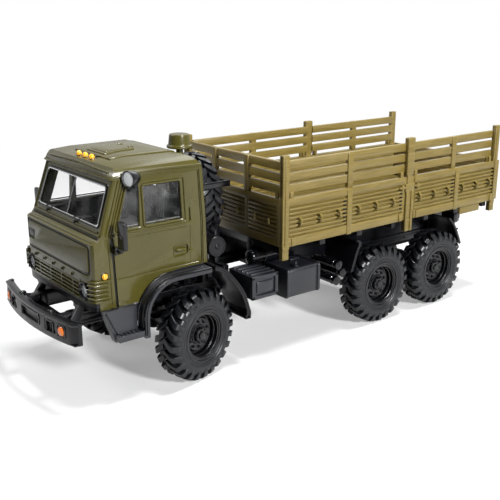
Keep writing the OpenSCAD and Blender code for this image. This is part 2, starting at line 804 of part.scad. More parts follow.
module dashboard() {
    color(BLACK) station() intersection() {
        cab_solid(cab_wall);
        side_plate([[23, waist_z - 5], [32, waist_z - 5], [31, waist_z - 0.4], [24, waist_z - 0.4]], -cab_w, cab_w);
    }
}

module seat(y0, y1) {
    base = floor_high + floor_plate;
    span([0, y0, base], [11, y1, base + 5.4]);
    side_plate([[-2.9, base], [0.01, base], [0.01, base + 6], [-1.2, base + 17], [-2.9, base + 17]], y0, y1);
}

module seats() {
    seat_out = roof_half - cab_wall - 1.6;
    color(BLACK) station() {
        seat(4.6, seat_out);
        seat(-seat_out, 2);
    }
}

module steering_wheel() {
    lean = 20;
    column = (waist_z - floor_low - floor_plate) / cos(lean) - 0.7;
    color(BLACK) station(19.4, waist_z) translate([0, 11, 0]) rotate([0, -lean, 0]) union() {
        rotate_extrude() translate([3.6, 0]) circle(0.4, $fn = 16);
        translate([0, 0, -0.4]) cylinder(r = 0.9, h = 0.7);
        for (a = [0, 90]) rotate([0, 0, a]) translate([-3.5, -0.3, -0.2]) cube([7, 0.6, 0.4]);
        translate([0, 0, -column]) cylinder(r = 0.5, h = column);
    }
}

// ---------------------------------------------------------------- wheels and steering
// A wheel's own frame has its spin axis on y, with +y on the outer side
module tyre() {
    w = tyre_w / 2;
    rotate([-90, 0, 0]) rotate_extrude($fn = 96) polygon([
        [rim_r, -w + 0.5], [rim_r + 0.7, -w], [tyre_r - 2.4, -w], [tyre_r - 0.9, -w + 0.6], [tyre_r, -w + 1.7],
        [tyre_r, w - 1.7], [tyre_r - 0.9, w - 0.6], [tyre_r - 2.4, w], [rim_r + 0.7, w], [rim_r, w - 0.5]]);
}

module rim(bore) {
    w = tyre_w / 2 - 0.5;
    barrel = rim_r - 0.9;
    rotate([-90, 0, 0]) rotate_extrude($fn = 64) polygon([
        [bore, -2.4], [2.6, -2.4], [2.6, -0.6], [barrel, -0.6], [barrel, -w], [rim_r, -w], [rim_r, w],
        [barrel, w], [barrel, 0.7], [barrel - 1.6, 0.7], [barrel - 2.2, 1.5], [2.4, 1.5], [2.1, 2.9], [0, 2.9],
        [0, hub_depth], [bore, hub_depth]]);
}

module at_kingpin(side) {
    station(front_axle, axle_z) translate([0, side * kingpin_y, 0]) rotate([0, 0, steer_angle])
        mirror([0, side < 0 ? 1 : 0, 0]) children();
}

module at_front_wheel(side) { at_kingpin(side) translate([0, kingpin_offset, 0]) children(); }

module at_axle_ends(x) {
    station(x, axle_z) both_sides() translate([0, wheel_y, 0]) children();
}

module knuckle(side) {
    reach = kingpin_offset + hub_depth - 0.2;
    pin_half = knuckle_h / 2 + 0.15 + ear_t;
    color(BLACK) at_kingpin(side) union() {
        translate([0, 0, -knuckle_h / 2]) cylinder(r = knuckle_r, h = knuckle_h);
        translate([0, 0, -pin_half]) cylinder(r = pin_r, h = 2 * pin_half);
        y_rod(rod_r, 0, reach);
        y_rod(1.5, 0, kingpin_offset - 2.6);
        span([-steer_arm, -arm_w / 2, -knuckle_h / 2], [0, arm_w / 2, -knuckle_h / 2 + 1.3]);
        translate([-steer_arm, 0, -pin_half]) cylinder(r = 0.5, h = pin_half - 0.7);
        translate([-steer_arm, 0, -knuckle_h / 2]) cylinder(r = 0.95, h = 1.3);
    }
}

module tie_rod() {
    pin_x = -steer_arm * cos(steer_angle);
    mid_y = -steer_arm * sin(steer_angle);
    eye_h = ear_t;
    z = -knuckle_h / 2 - 0.1 - eye_h;
    color(STEEL) station(front_axle + pin_x, axle_z) translate([0, mid_y, z]) difference() {
        union() {
            for (s = [-1, 1]) translate([0, s * kingpin_y, 0]) cylinder(r = 1.15, h = eye_h);
            span([-tie_r, -kingpin_y, 0], [tie_r, kingpin_y, eye_h]);
        }
        for (s = [-1, 1]) translate([0, s * kingpin_y, -1]) cylinder(r = 0.5 + fit_gap, h = eye_h + 2);
    }
}

module axle_rod(x) {
    reach = wheel_y + hub_depth - 0.2;
    color(STEEL) station(x, axle_z) y_rod(rod_r, -reach, reach);
}

module tyre_front_left() { color(RUBBER) at_front_wheel(1) tyre(); }
module tyre_front_right() { color(RUBBER) at_front_wheel(-1) tyre(); }
module rim_front_left() { color(BLACK) at_front_wheel(1) rim(rod_r + fit_gap); }
module rim_front_right() { color(BLACK) at_front_wheel(-1) rim(rod_r + fit_gap); }
module tyres_middle() { color(RUBBER) at_axle_ends(middle_axle) tyre(); }
module rims_middle() { color(BLACK) at_axle_ends(middle_axle) rim(rod_r); }
module tyres_rear() { color(RUBBER) at_axle_ends(rear_axle) tyre(); }
module rims_rear() { color(BLACK) at_axle_ends(rear_axle) rim(rod_r); }

frame_rails();
front_bumper();
bumper_lamps();
engine_block();
transfer_case();
front_axle_beam();
axle_housings();
leaf_springs();
drive_shafts();
battery_box();
fuel_tank();
air_tanks();
air_cleaner();
silencer();
air_intake();
cab_rest();
spare_carrier();
spare_tyre();
spare_rim();
mudguards();
tail_lamps();
toolbox();
bed_floor();
bed_bearers();
side_boards();
front_board();
racks();
tailgate();
cab_shell();
cab_floor();
front_valance();
cab_fenders();
windscreen();
cab_windows();
headlamps();
marker_lamps();
searchlight();
mirrors();
dashboard();
seats();
steering_wheel();
knuckle(1);  // knuckle_left
knuckle(-1);  // knuckle_right
tie_rod();
tyre_front_left();
tyre_front_right();
rim_front_left();
rim_front_right();
tyres_middle();
rims_middle();
axle_rod(middle_axle);  // middle_axle_rod
tyres_rear();
rims_rear();
axle_rod(rear_axle);  // rear_axle_rod
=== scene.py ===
# %% [markdown]
# # A scale-model army truck
# The CAD frame brings the truck's pieces at their real size. This notebook gives them their looks:
# moulded olive paint, black plastic, rubber with its lugs, clear inserts and small lamps. Lengths are
# in millimetres, as on the model's drawing, and are turned into Blender's metres in one place.

# %% Load the frame
import bpy, bmesh, json, math
from mathutils import Matrix, Vector


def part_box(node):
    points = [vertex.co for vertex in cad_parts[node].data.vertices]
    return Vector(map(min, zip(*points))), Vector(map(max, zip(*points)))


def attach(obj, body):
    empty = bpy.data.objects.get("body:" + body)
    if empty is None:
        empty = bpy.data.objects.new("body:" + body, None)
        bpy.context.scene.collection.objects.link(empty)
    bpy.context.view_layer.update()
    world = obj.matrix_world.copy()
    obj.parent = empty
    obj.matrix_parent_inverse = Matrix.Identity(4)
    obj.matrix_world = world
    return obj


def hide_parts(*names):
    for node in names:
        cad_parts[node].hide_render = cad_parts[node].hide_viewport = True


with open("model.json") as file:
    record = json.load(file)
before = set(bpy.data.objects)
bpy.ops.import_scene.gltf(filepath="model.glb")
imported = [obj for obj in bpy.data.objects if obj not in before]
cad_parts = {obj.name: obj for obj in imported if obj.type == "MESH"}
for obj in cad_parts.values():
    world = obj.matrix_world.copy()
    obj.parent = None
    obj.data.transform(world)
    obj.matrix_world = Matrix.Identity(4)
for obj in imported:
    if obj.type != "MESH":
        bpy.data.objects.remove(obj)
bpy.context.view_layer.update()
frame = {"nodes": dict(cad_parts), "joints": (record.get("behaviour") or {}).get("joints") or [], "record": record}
MM = 0.001


def low(node):
    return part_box(node)[0] / MM


def high(node):
    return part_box(node)[1] / MM


def middle(node):
    return (low(node) + high(node)) / 2


# %% [markdown]
# Places along the truck are measured forward from the line through the top of the front wheel arch,
# which is where the cab, the flares and the mudguards meet. `station` turns such a place into the frame.

# %% Places shared by the pieces
AXLE = middle("front_axle_beam")
ARCH_X = AXLE.x - 2.6
CAB_HALF = high("cab_shell").y
CAB_TOP = high("cab_shell").z
CAB_BOTTOM = low("cab_shell").z
FACE_X = high("cab_shell").x - ARCH_X
CAB_REAR = low("cab_floor").x - ARCH_X - 1.2
WAIST_Z = CAB_BOTTOM + 20.5
HEAD_Z = CAB_TOP - 6.2
GUTTER_Z = CAB_TOP - 2.9
TYRE_R = AXLE.z
BOARD_TOP = high("tailgate").z
BED_Z = low("bed_floor").z
BED_HALF = high("side_boards").y
BED_FRONT = high("bed_floor").x - ARCH_X
BED_REAR = low("bed_floor").x - ARCH_X
POST_TOP = high("side_boards").z
POST_FOOT = low("side_boards").z
RAIL_Z = low("front_bumper").z + 0.6
RAIL_TOP = low("bed_bearers").z
MIDDLE_AXLE, REAR_AXLE = (round(middle(rod).x - ARCH_X, 1) for rod in ("middle_axle_rod", "rear_axle_rod"))


def station(x, y, z):
    return Vector(((ARCH_X + x) * MM, y * MM, z * MM))


print("axles stand at", [round(x, 1) for x in (AXLE.x - ARCH_X, MIDDLE_AXLE, REAR_AXLE)], "mm")

# %% [markdown]
# Most pieces are built from a few closed solids: bars, plates, turned shapes and bent tubes. One small
# class collects them, rounds their edges, as a mould does, and hands over a finished object. Rounded
# edges matter more than anything else here, because each of them catches a thin line of light.

# %% From working meshes to mesh datablocks
def mesh_from(bm, name):
    """Writes a working mesh to a mesh datablock and lets the working mesh go."""
    mesh = bpy.data.meshes.new(name)
    bm.to_mesh(mesh)
    bm.free()
    return mesh


def pour(source, target):
    """Moves all of one working mesh into another."""
    mesh = mesh_from(source, "part")
    target.from_mesh(mesh)
    bpy.data.meshes.remove(mesh)


def add_other_side(bm):
    """Adds the same shapes on the other side of the truck, with their faces turned outwards again."""
    copy = bm.copy()
    bmesh.ops.transform(copy, matrix=Matrix.Diagonal((1, -1, 1, 1)), verts=copy.verts)
    bmesh.ops.reverse_faces(copy, faces=copy.faces)
    pour(copy, bm)


def shaded(obj, angle=35):
    """Smooth shading that breaks at edges sharper than the angle."""
    obj.data.polygons.foreach_set("use_smooth", [True] * len(obj.data.polygons))
    obj.data.set_sharp_from_angle(angle=math.radians(angle))
    return obj


def dress(obj, body, material, slot, *replaced):
    """Links a finished piece, gives it its finish, and makes it ride on its body."""
    bpy.context.scene.collection.objects.link(obj)
    obj.data.materials.clear()
    obj.data.materials.append(material)
    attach(obj, body)
    if replaced:
        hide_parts(*replaced)
    print(f"{obj.name}: {len(obj.data.polygons)} faces in {material.name}, on {body}")
    return obj


# %% [markdown]
# The class keeps one working mesh. Each of its methods adds a closed solid to it and returns the piece
# itself, so that calls can follow one another. `solid` joins rings of points, and the bar, the plates
# and the tube are rings in different places. `turned` is a lathe.

# %% A maker for moulded pieces
class Piece:
    def __init__(self, name):
        self.name = name
        self.bm = bmesh.new()

    def _take(self, part, bevel, segments):
        bmesh.ops.recalc_face_normals(part, faces=part.faces)
        if bevel:
            sharp = [e for e in part.edges if e.is_manifold and e.calc_face_angle(0) > 0.5]
            bmesh.ops.bevel(part, geom=sharp, offset=bevel * MM, segments=segments, profile=0.5,
                            affect="EDGES", clamp_overlap=True)
        pour(part, self.bm)
        return self

    def solid(self, rings, bevel=0.0, segments=2, closed=False):
        """Rings of points joined one to the next, with caps at both ends unless the row is closed."""
        part = bmesh.new()
        rows = [[part.verts.new(p) for p in ring] for ring in rings]
        count = len(rows[0])
        pairs = list(zip(rows, rows[1:])) + ([(rows[-1], rows[0])] if closed else [])
        for a, b in pairs:
            for i in range(count):
                part.faces.new((a[i], a[(i + 1) % count], b[(i + 1) % count], b[i]))
        if not closed:
            part.faces.new(rows[0][::-1])
            part.faces.new(rows[-1])
        return self._take(part, bevel, segments)

    def box(self, lo, hi, bevel=0.15, segments=2):
        ring = [(lo[0], lo[1]), (hi[0], lo[1]), (hi[0], hi[1]), (lo[0], hi[1])]
        return self.solid([[station(x, y, z) for x, y in ring] for z in (lo[2], hi[2])], bevel, segments)

    def plate(self, outline, y0, y1, bevel=0.15, segments=2):
        """A side outline in x and z with its thickness along y."""
        return self.solid([[station(x, y, z) for x, z in outline] for y in (y0, y1)], bevel, segments)

    def wall(self, outline, x0, x1, bevel=0.15, segments=2):
        """A front outline in y and z with its thickness along x."""
        return self.solid([[station(x, y, z) for y, z in outline] for x in (x0, x1)], bevel, segments)

    def slab(self, outline, z0, z1, bevel=0.15, segments=2):
        """A plan outline in x and y with its thickness along z."""
        return self.solid([[station(x, y, z) for x, y in outline] for z in (z0, z1)], bevel, segments)

    def turned(self, profile, centre, axis, steps=32, bevel=0.0):
        """A profile of (distance along the axis, radius) turned round an axis."""
        axis = Vector(axis).normalized()
        side = axis.orthogonal().normalized()
        up = axis.cross(side)
        rings = []
        for k in range(steps):
            a = 2 * math.pi * k / steps
            out = side * math.cos(a) + up * math.sin(a)
            rings.append([station(*centre) + (axis * d + out * r) * MM for d, r in profile])
        part = bmesh.new()
        rows = [[part.verts.new(p) for p in ring] for ring in rings]
        count = len(profile)
        for k in range(steps):
            a, b = rows[k], rows[(k + 1) % steps]
            for i in range(count - 1):
                part.faces.new((a[i], a[i + 1], b[i + 1], b[i]))
        bmesh.ops.remove_doubles(part, verts=part.verts, dist=1e-7)
        loose = [f for f in part.faces if f.calc_area() < 1e-14]
        bmesh.ops.delete(part, geom=loose, context="FACES")
        bmesh.ops.holes_fill(part, edges=[e for e in part.edges if e.is_boundary], sides=0)
        return self._take(part, bevel, 2)

    def tube(self, path, radius, sides=10, closed=False, flat=1.0):
        """A round or flattened bar along a path of stations."""
        points = [station(*p) for p in path]
        rings = []
        normal = None
        for i, p in enumerate(points):
            before = points[i - 1] if i or closed else p
            after = points[(i + 1) % len(points)] if i + 1 < len(points) or closed else p
            along = (after - before).normalized()
            normal = along.orthogonal() if normal is None else normal
            normal = (normal - along * normal.dot(along)).normalized()
            other = along.cross(normal)
            rings.append([p + (normal * math.cos(a) + other * math.sin(a) * flat) * radius * MM
                          for a in [2 * math.pi * k / sides for k in range(sides)]])
        return self.solid(rings, closed=closed)

    def mirrored(self):
        add_other_side(self.bm)
        return self

    def made(self):
        """The collected solids as a plain object."""
        return shaded(bpy.data.objects.new(self.name, mesh_from(self.bm, self.name)))

    def done(self, body, material, slot, *replaced):
        return dress(self.made(), body, material, slot, *replaced)


print("a piece can take", [n for n in vars(Piece) if not n.startswith("_")])

# %% [markdown]
# A CAD node is made of loose triangles with knife-sharp edges. Where its shape is right but its edges
# are too hard, a merged copy gets a Bevel modifier that is limited by angle. Grooves and recesses are
# cut out of the copy first, so that their rims are rounded too.

# %% Rounded copies of CAD nodes
def evaluated(obj):
    """The object's mesh with its modifiers carried out."""
    link = obj.name not in bpy.context.scene.collection.objects
    if link:
        bpy.context.scene.collection.objects.link(obj)
    graph = bpy.context.evaluated_depsgraph_get()
    mesh = bpy.data.meshes.new_from_object(obj.evaluated_get(graph))
    obj.modifiers.clear()
    obj.data = mesh
    if link:
        bpy.context.scene.collection.objects.unlink(obj)
    return obj


def merged(name, *nodes):
    """A merged copy of one or more CAD nodes."""
    bm = bmesh.new()
    for node in nodes:
        bm.from_mesh(frame["nodes"][node].data)
    bmesh.ops.remove_doubles(bm, verts=bm.verts, dist=2e-6)
    bmesh.ops.dissolve_limit(bm, angle_limit=math.radians(1), verts=bm.verts, edges=bm.edges)
    return bpy.data.objects.new(name, mesh_from(bm, name))


def carved(obj, *cutters):
    """Takes each cutter out of the object."""
    for cutter in cutters:
        bpy.context.scene.collection.objects.link(cutter)
        cut = obj.modifiers.new("cut", "BOOLEAN")
        cut.object, cut.operation, cut.solver = cutter, "DIFFERENCE", "EXACT"
    evaluated(obj)
    for cutter in cutters:
        bpy.data.objects.remove(cutter)
    return obj


def rounded(obj, width, segments=2, angle=28):
    bevel = obj.modifiers.new("rounding", "BEVEL")
    bevel.width, bevel.segments = width * MM, segments
    bevel.limit_method, bevel.angle_limit = "ANGLE", math.radians(angle)
    bevel.harden_normals = False
    bevel.use_clamp_overlap = True
    return shaded(evaluated(obj), 40)


def soft_copy(node, body, material, slot, width=0.2, segments=2):
    """A rounded copy that stands for one CAD node."""
    return dress(rounded(merged(node + "_moulded", node), width, segments), body, material, slot, node)


# %% [markdown]
# ## Finishes
# A finish is a small sum of noises, and such a sum reads best as one. The nodes could be placed one by
# one, but then the sum is lost among the links. So one class wraps a node's output and builds the Math
# nodes behind `+`, `-` and `*`.

# %% Sums of shader sockets
class Value:
    def __init__(self, finish, socket):
        self.finish, self.socket = finish, socket

    def _sum(self, kind, a, b):
        return self.finish.node("ShaderNodeMath", {"operation": kind}, {0: a, 1: b})

    def __add__(self, other):
        return self._sum("ADD", self, other)

    def __sub__(self, other):
        return self._sum("SUBTRACT", self, other)

    def __rsub__(self, other):
        return self._sum("SUBTRACT", other, self)

    def __mul__(self, other):
        return self._sum("MULTIPLY", self, other)

    __radd__ = __add__
    __rmul__ = __mul__

    def clipped(self, lo, hi, new_lo=0.0, new_hi=1.0):
        """Spreads lo..hi over the new range and stays inside it."""
        return self.finish.node("ShaderNodeMapRange", {"clamp": True},
                                {0: self, 1: lo, 2: hi, 3: new_lo, 4: new_hi})


print("a Value can be added, subtracted, multiplied and clipped")

# %% [markdown]
# Every other node comes from one method. It takes the node's type, its settings and what feeds its
# sockets, each of them either a number or another node's output, and hands back the output that is
# asked for. A `Finish` is such a graph on a new material, with the measures of this model built in.

# %% Nodes from one method
class Graph:
    def __init__(self, tree):
        self.tree = tree

    def node(self, kind, settings=None, inputs=None, out=0):
        node = self.tree.nodes.new(kind)
        for key, value in (settings or {}).items():
            setattr(node, key, value)
        for key, value in (inputs or {}).items():
            self.feed(node.inputs[key], value)
        return Value(self, node.outputs[out])

    def feed(self, target, value):
        if isinstance(value, Value):
            self.tree.links.new(value.socket, target)
        else:
            target.default_value = value


class Finish(Graph):
    def __init__(self, name):
        self.material = bpy.data.materials.new(name)
        self.material.use_nodes = True
        super().__init__(self.material.node_tree)
        self.shader = self.tree.nodes["Principled BSDF"]
        self.output = self.tree.nodes["Material Output"]
        self.place = self.node("ShaderNodeTexCoord", out="Object")

    def noise(self, size, detail=3.0, stretch=(1, 1, 1)):
        """Noise whose grains are about size millimetres long, from 0 to 1."""
        place = self.node("ShaderNodeMapping", inputs={"Vector": self.place, "Scale": stretch})
        return self.node("ShaderNodeTexNoise", inputs={
            "Vector": place, "Scale": 1 / (size * MM), "Detail": detail, "Roughness": 0.55})

    def axis(self, name):
        """One coordinate of the surface point, in metres."""
        return self.node("ShaderNodeSeparateXYZ", inputs={0: self.place}, out=name)

    def blend(self, share, a, b):
        return self.node("ShaderNodeMix", {"data_type": "RGBA"}, {0: share, 6: a, 7: b}, out=2)

    def look(self, **sockets):
        for key, value in sockets.items():
            self.feed(self.shader.inputs[key.replace("_", " ").title().replace("Ior", "IOR")], value)
        return self

    def bumped(self, height, depth):
        """Relief that is depth millimetres deep where height goes from 0 to 1."""
        bump = self.node("ShaderNodeBump", {}, {"Strength": 1.0, "Distance": depth * MM, "Height": height},
                         out="Normal")
        self.feed(self.shader.inputs["Normal"], bump)
        return self


def rgb(code):
    """A written colour as the linear values that a shader takes."""
    parts = [int(code[i:i + 2], 16) / 255 for i in (1, 3, 5)]
    return [p / 12.92 if p <= 0.04045 else ((p + 0.055) / 1.055) ** 2.4 for p in parts] + [1.0]


print("a written #808080 is", round(rgb("#808080")[0], 3), "in a shader")

# %% [markdown]
# The cab is sprayed olive drab with a soft sheen. Real spray is never quite even: there is a fine
# orange-peel relief, and the colour and the gloss drift a little from place to place.

# %% Cab paint
def sprayed(name, main, dusty, rough):
    f = Finish(name)
    drift = f.noise(9, 4)
    grain = f.noise(0.35, 2)
    cloud = drift.clipped(0.3, 0.75)
    f.look(base_color=f.blend(cloud * 0.45 + grain * 0.12, rgb(main), rgb(dusty)),
           roughness=rough - cloud * 0.07 + grain * 0.08, specular_ior_level=0.5)
    f.bumped(f.noise(0.5, 2) * 0.7 + f.noise(4, 2) * 0.6, 0.012)
    return f.material


cab_paint = sprayed("cab_paint", "#4a451a", "#595425", 0.24)
print(cab_paint.name, "has", len(cab_paint.node_tree.nodes), "nodes")

# %% [markdown]
# The load bed is moulded in a warmer, browner plastic. Its boards show long streaks where the plastic
# flowed in the mould, so that noise is stretched along the boards.

# %% Bed plastic
def streaked(name, main, light, along):
    f = Finish(name)
    streak = f.noise(0.55, 5, along).clipped(0.3, 0.7)
    cloud = f.noise(14, 3).clipped(0.25, 0.8)
    f.look(base_color=f.blend(streak * 0.55 + cloud * 0.3, rgb(main), rgb(light)),
           roughness=0.36 + streak * 0.1 - cloud * 0.06, specular_ior_level=0.5)
    f.bumped(streak * 0.7 + f.noise(0.3, 2) * 0.5, 0.02)
    return f.material


bed_paint = streaked("bed_paint", "#6a5a28", "#938146", (0.06, 1, 1))
bed_paint_across = streaked("bed_paint_across", "#6a5a28", "#938146", (1, 0.06, 1))
print("bed plastic with streaks along and across:", bed_paint.name, bed_paint_across.name)

# %% [markdown]
# Black parts are moulded in a satin plastic with a very fine spark-eroded grain. The same mould grain
# looks deeper or shinier from part to part, so one function makes four blacks that differ in shade
# and roughness.

# %% Black plastic
def moulded_black(name, code, cloudy, rough, shine=0.5):
    f = Finish(name)
    grain = f.noise(0.22, 2)
    cloud = f.noise(7, 3).clipped(0.3, 0.75)
    f.look(base_color=f.blend(cloud * 0.6, rgb(code), rgb(cloudy)),
           roughness=rough + grain * 0.12 - cloud * 0.06, specular_ior_level=shine)
    f.bumped(grain, 0.008)
    return f.material


black_plastic = moulded_black("black_plastic", "#08080b", "#101117", 0.28, 0.35)
gloss_black = moulded_black("gloss_black", "#08090c", "#101117", 0.15)
satin_black = moulded_black("satin_black", "#1c1d23", "#26272e", 0.3, 0.6)
rim_black = moulded_black("rim_black", "#070709", "#101117", 0.24)
print("blacks:", [m.name for m in (black_plastic, gloss_black, satin_black, rim_black)])

# %% [markdown]
# Tyres are a softer black that scatters more light. Dust settles in patches a few millimetres wide,
# which a coarse noise lays over the fine grain.

# %% Rubber
def rubber_finish():
    f = Finish("tyre_rubber")
    dust = f.noise(2.2, 4).clipped(0.35, 0.75)
    grain = f.noise(0.18, 2)
    f.look(base_color=f.blend(dust * 0.7, rgb("#0d0e12"), rgb("#16171c")), roughness=0.30 + grain * 0.1,
           specular_ior_level=0.45)
    f.bumped(grain * 0.8 + dust * 0.3, 0.015)
    return f.material


rubber = rubber_finish()
print(rubber.name, "has", len(rubber.node_tree.nodes), "nodes")

# %% [markdown]
# The axle rods are drawn steel, with fine lines along their length. The mirrors and the bright edges of
# the windows are foil, nearly a true mirror. The bowl behind a lamp's lens is white plastic with a painted
# glow, a little emission that stands in for the light the lens gathers into it.

# %% Steel, foil and lamp bowls
def steel_finish():
    f = Finish("steel")
    lines = f.noise(0.25, 2, (1, 0.08, 1))
    f.look(base_color=f.blend(lines, rgb("#77797c"), rgb("#9a9c9e")), metallic=1.0,
           roughness=0.28 + lines * 0.15)
    return f.material


def mirror_finish():
    f = Finish("reflector")
    ribs = f.noise(0.4, 1, (1, 1, 0.1))
    f.look(base_color=rgb("#d8dadb"), metallic=1.0, roughness=0.1 + ribs * 0.15)
    return f.material


def bowl_finish():
    f = Finish("lamp_bowl")
    flutes = f.noise(0.3, 1, (1, 1, 0.2))
    f.look(base_color=f.blend(flutes, rgb("#c8ccce"), rgb("#eceff0")), roughness=0.2 + flutes * 0.15,
           emission_color=f.blend(flutes, rgb("#a9adb0"), rgb("#eef0f2")))
    # painted glow: the bowl gives light by emission, though the lamp is not on
    f.shader.inputs["Emission Strength"].default_value = 0.4
    return f.material


steel = steel_finish()
reflector = mirror_finish()
lamp_bowl = bowl_finish()
print("bright finishes:", [m.name for m in (steel, reflector, lamp_bowl)])

# %% [markdown]
# The small lamps are tinted plastic. Inside, they are moulded with tiny prisms, which a cell pattern
# gives. Clear plastic bends light towards the eye, and a little emission paints that as a glow, which keeps the
# colour alive.

# %% Tinted lenses
def lens_finish(name, code, glow):
    f = Finish(name)
    cell = f.node("ShaderNodeTexVoronoi", {}, {"Vector": f.place, "Scale": 1 / (0.45 * MM)})
    shade = cell.clipped(0.0, 0.7)
    f.look(base_color=f.blend(shade, rgb(code), rgb(glow)), roughness=0.12 + shade * 0.06,
           emission_color=f.blend(shade, rgb(code), rgb(glow)), coat_weight=0.5, coat_roughness=0.06)
    # painted glow: these lenses give light by emission, though they are no lamps
    f.shader.inputs["Emission Strength"].default_value = 0.12
    f.bumped(shade, 0.03)
    return f.material


amber = lens_finish("amber_lens", "#ff9c10", "#ffc23a")
orange = lens_finish("orange_lens", "#f0560c", "#ff8a2c")
red = lens_finish("red_lens", "#a01212", "#c83028")
print("lenses:", [m.name for m in (amber, orange, red)])

# %% [markdown]
# The windows are clear inserts. A thin clear sheet could be a refracting shell, but that is slow and
# darkens the cab, so it is a glossy skin with a low alpha, and a faint smear that varies it.

# %% Clear inserts
def clear_finish(name, tint, alpha, rough):
    f = Finish(name)
    smear = f.noise(6, 3).clipped(0.35, 0.8)
    f.look(base_color=f.blend(smear, rgb(tint), rgb("#ffffff")), roughness=rough,
           alpha=alpha + smear * 0.04, specular_ior_level=0.7)
    f.material.surface_render_method = "DITHERED"
    return f.material


glazing = clear_finish("clear_glazing", "#3c4042", 0.05, 0.04)
lamp_glass = clear_finish("lamp_glass", "#eef2f2", 0.25, 0.04)
print("clear plastics:", glazing.name, lamp_glass.name)

# %% [markdown]
# ## Camera, floor and light
# A long lens looks down on the model's front left corner, as a person does who bends over a shelf. A
# long lens also keeps the near wheels from looking larger than the far ones.

# %% Camera
AZIMUTH, ELEVATION = math.radians(142.09), math.radians(16.92)
LENS_MM, SENSOR_MM = 57.67, 36
CAMERA_PLACE = (127.4, 213.4, 110.0)
camera = bpy.data.objects.new("camera", bpy.data.cameras.new("camera"))
bpy.context.scene.collection.objects.link(camera)
camera.data.lens = LENS_MM
camera.data.sensor_width = SENSOR_MM
camera.data.clip_start, camera.data.clip_end = 0.01, 30
camera.location = station(*CAMERA_PLACE)
backwards = Vector((math.sin(AZIMUTH) * math.cos(ELEVATION), -math.cos(AZIMUTH) * math.cos(ELEVATION),
                    math.sin(ELEVATION)))
camera.rotation_euler = backwards.to_track_quat("Z", "Y").to_euler()
bpy.context.scene.camera = camera
print("the camera stands", round(camera.location.length, 3), "m from the truck's middle")

# %% [markdown]
# The model stands on a white sweep. Far from the truck the floor turns into plain white light, so that
# no horizon shows. A white floor would also light the truck's underside too much, so the light that
# bounces off it is that of a grey one.

# %% Floor
def floor_finish():
    f = Finish("white_sweep")
    grain = f.noise(25, 2)
    f.look(base_color=f.blend(grain, rgb("#f4f4f4"), rgb("#f8f8f8")), roughness=0.55, specular_ior_level=0.2)
    # plain white, seen by the camera only, from a tenth of a metre outwards
    white = f.node("ShaderNodeEmission", {}, {"Color": rgb("#ffffff"), "Strength": 1.0}, out="Emission")
    away = f.node("ShaderNodeVectorMath", {"operation": "LENGTH"}, {0: f.place}, out="Value")
    far = away.clipped(0.1, 0.42, 0.3, 1.0)
    seen = f.node("ShaderNodeLightPath", out="Is Camera Ray")
    # grey for the light that goes on to the truck
    dull = f.node("ShaderNodeBsdfDiffuse", {}, {"Color": rgb("#6c6c6c")}, out="BSDF")
    mirrored = f.node("ShaderNodeLightPath", out="Is Glossy Ray")
    bounced = f.node("ShaderNodeLightPath", out="Is Diffuse Ray") + 0.3 * mirrored
    ground = f.node("ShaderNodeMixShader", {}, {0: bounced, 1: Value(f, f.shader.outputs[0]), 2: dull})
    mix = f.node("ShaderNodeMixShader", {}, {0: far * seen, 1: ground, 2: white})
    f.feed(f.output.inputs["Surface"], mix)
    return f.material


def flat_floor(half):
    """A square floor that reaches half its width to each side, and is no part of the truck."""
    bm = bmesh.new()
    bmesh.ops.create_grid(bm, x_segments=4, y_segments=4, size=half)
    obj = bpy.data.objects.new("floor", mesh_from(bm, "floor"))
    bpy.context.scene.collection.objects.link(obj)
    obj.data.materials.append(floor_finish())
    return obj


print("the floor reaches", round(flat_floor(4.0).dimensions.x, 1), "m across")

# %% [markdown]
# Four soft lamps light the truck. The overhead one and the key draw the highlights along the edges, and
# the weaker ones in front and behind open the shadows.

# %% Lamps
def soft_lamp(name, place, size, watts):
    """A round lamp of a given width that looks at the truck."""
    lamp = bpy.data.lights.new(name, "AREA")
    lamp.shape, lamp.size, lamp.energy = "DISK", size, watts
    obj = bpy.data.objects.new(name, lamp)
    obj.location = place
    obj.rotation_euler = (Vector(place) - Vector((0, 0, 0.03))).to_track_quat("Z", "Y").to_euler()
    bpy.context.scene.collection.objects.link(obj)
    print(f"{name} lamp: {watts} W, {size} m wide")


soft_lamp("overhead", (-0.1, 0.08, 0.75), 0.15, 5.0)
soft_lamp("key", (-0.04, 0.8, 0.42), 0.13, 10.0)
soft_lamp("front", (0.6, -0.4, 0.5), 0.25, 2.2)
soft_lamp("rear", (-0.5, -0.35, 0.6), 0.6, 1.8)

# %% [markdown]
# The world is white to the eye, but dim as a lamp. What the gloss of the paint mirrors is brighter
# beyond the truck than on the camera's side, as in a room with a white wall behind the table.

# %% World
world = bpy.data.worlds.new("studio")
bpy.context.scene.world = world
world.use_nodes = True
sky = Graph(world.node_tree)
way = sky.node("ShaderNodeTexCoord", out="Generated")
beyond = sky.node("ShaderNodeVectorMath", {"operation": "DOT_PRODUCT"}, {0: way, 1: -backwards}, out="Value")
mirrored = sky.node("ShaderNodeLightPath", out="Is Glossy Ray")
through = sky.node("ShaderNodeLightPath", out="Is Transmission Ray")
seen = sky.node("ShaderNodeLightPath", out="Is Camera Ray") + through
dim = 0.08 + mirrored * beyond.clipped(-0.3, 0.35, 0.05, 0.65)
sky.feed(world.node_tree.nodes["Background"].inputs["Strength"], dim + seen * (1 - dim))
sky.feed(world.node_tree.nodes["Background"].inputs["Color"], (1, 1, 1, 1))
bpy.context.scene.view_settings.view_transform = "Standard"
print("the world has", len(world.node_tree.nodes), "nodes")

# %% [markdown]
# ## What repeats
# Tread lugs, wheel nuts, board ribs and hooks repeat by a rule, so Geometry Nodes lay them out. One tree
# turns copies of the incoming mesh round the Y axis, the other sets them out in a straight row. Both end
# in real geometry with a material, so that the result can become a plain mesh.

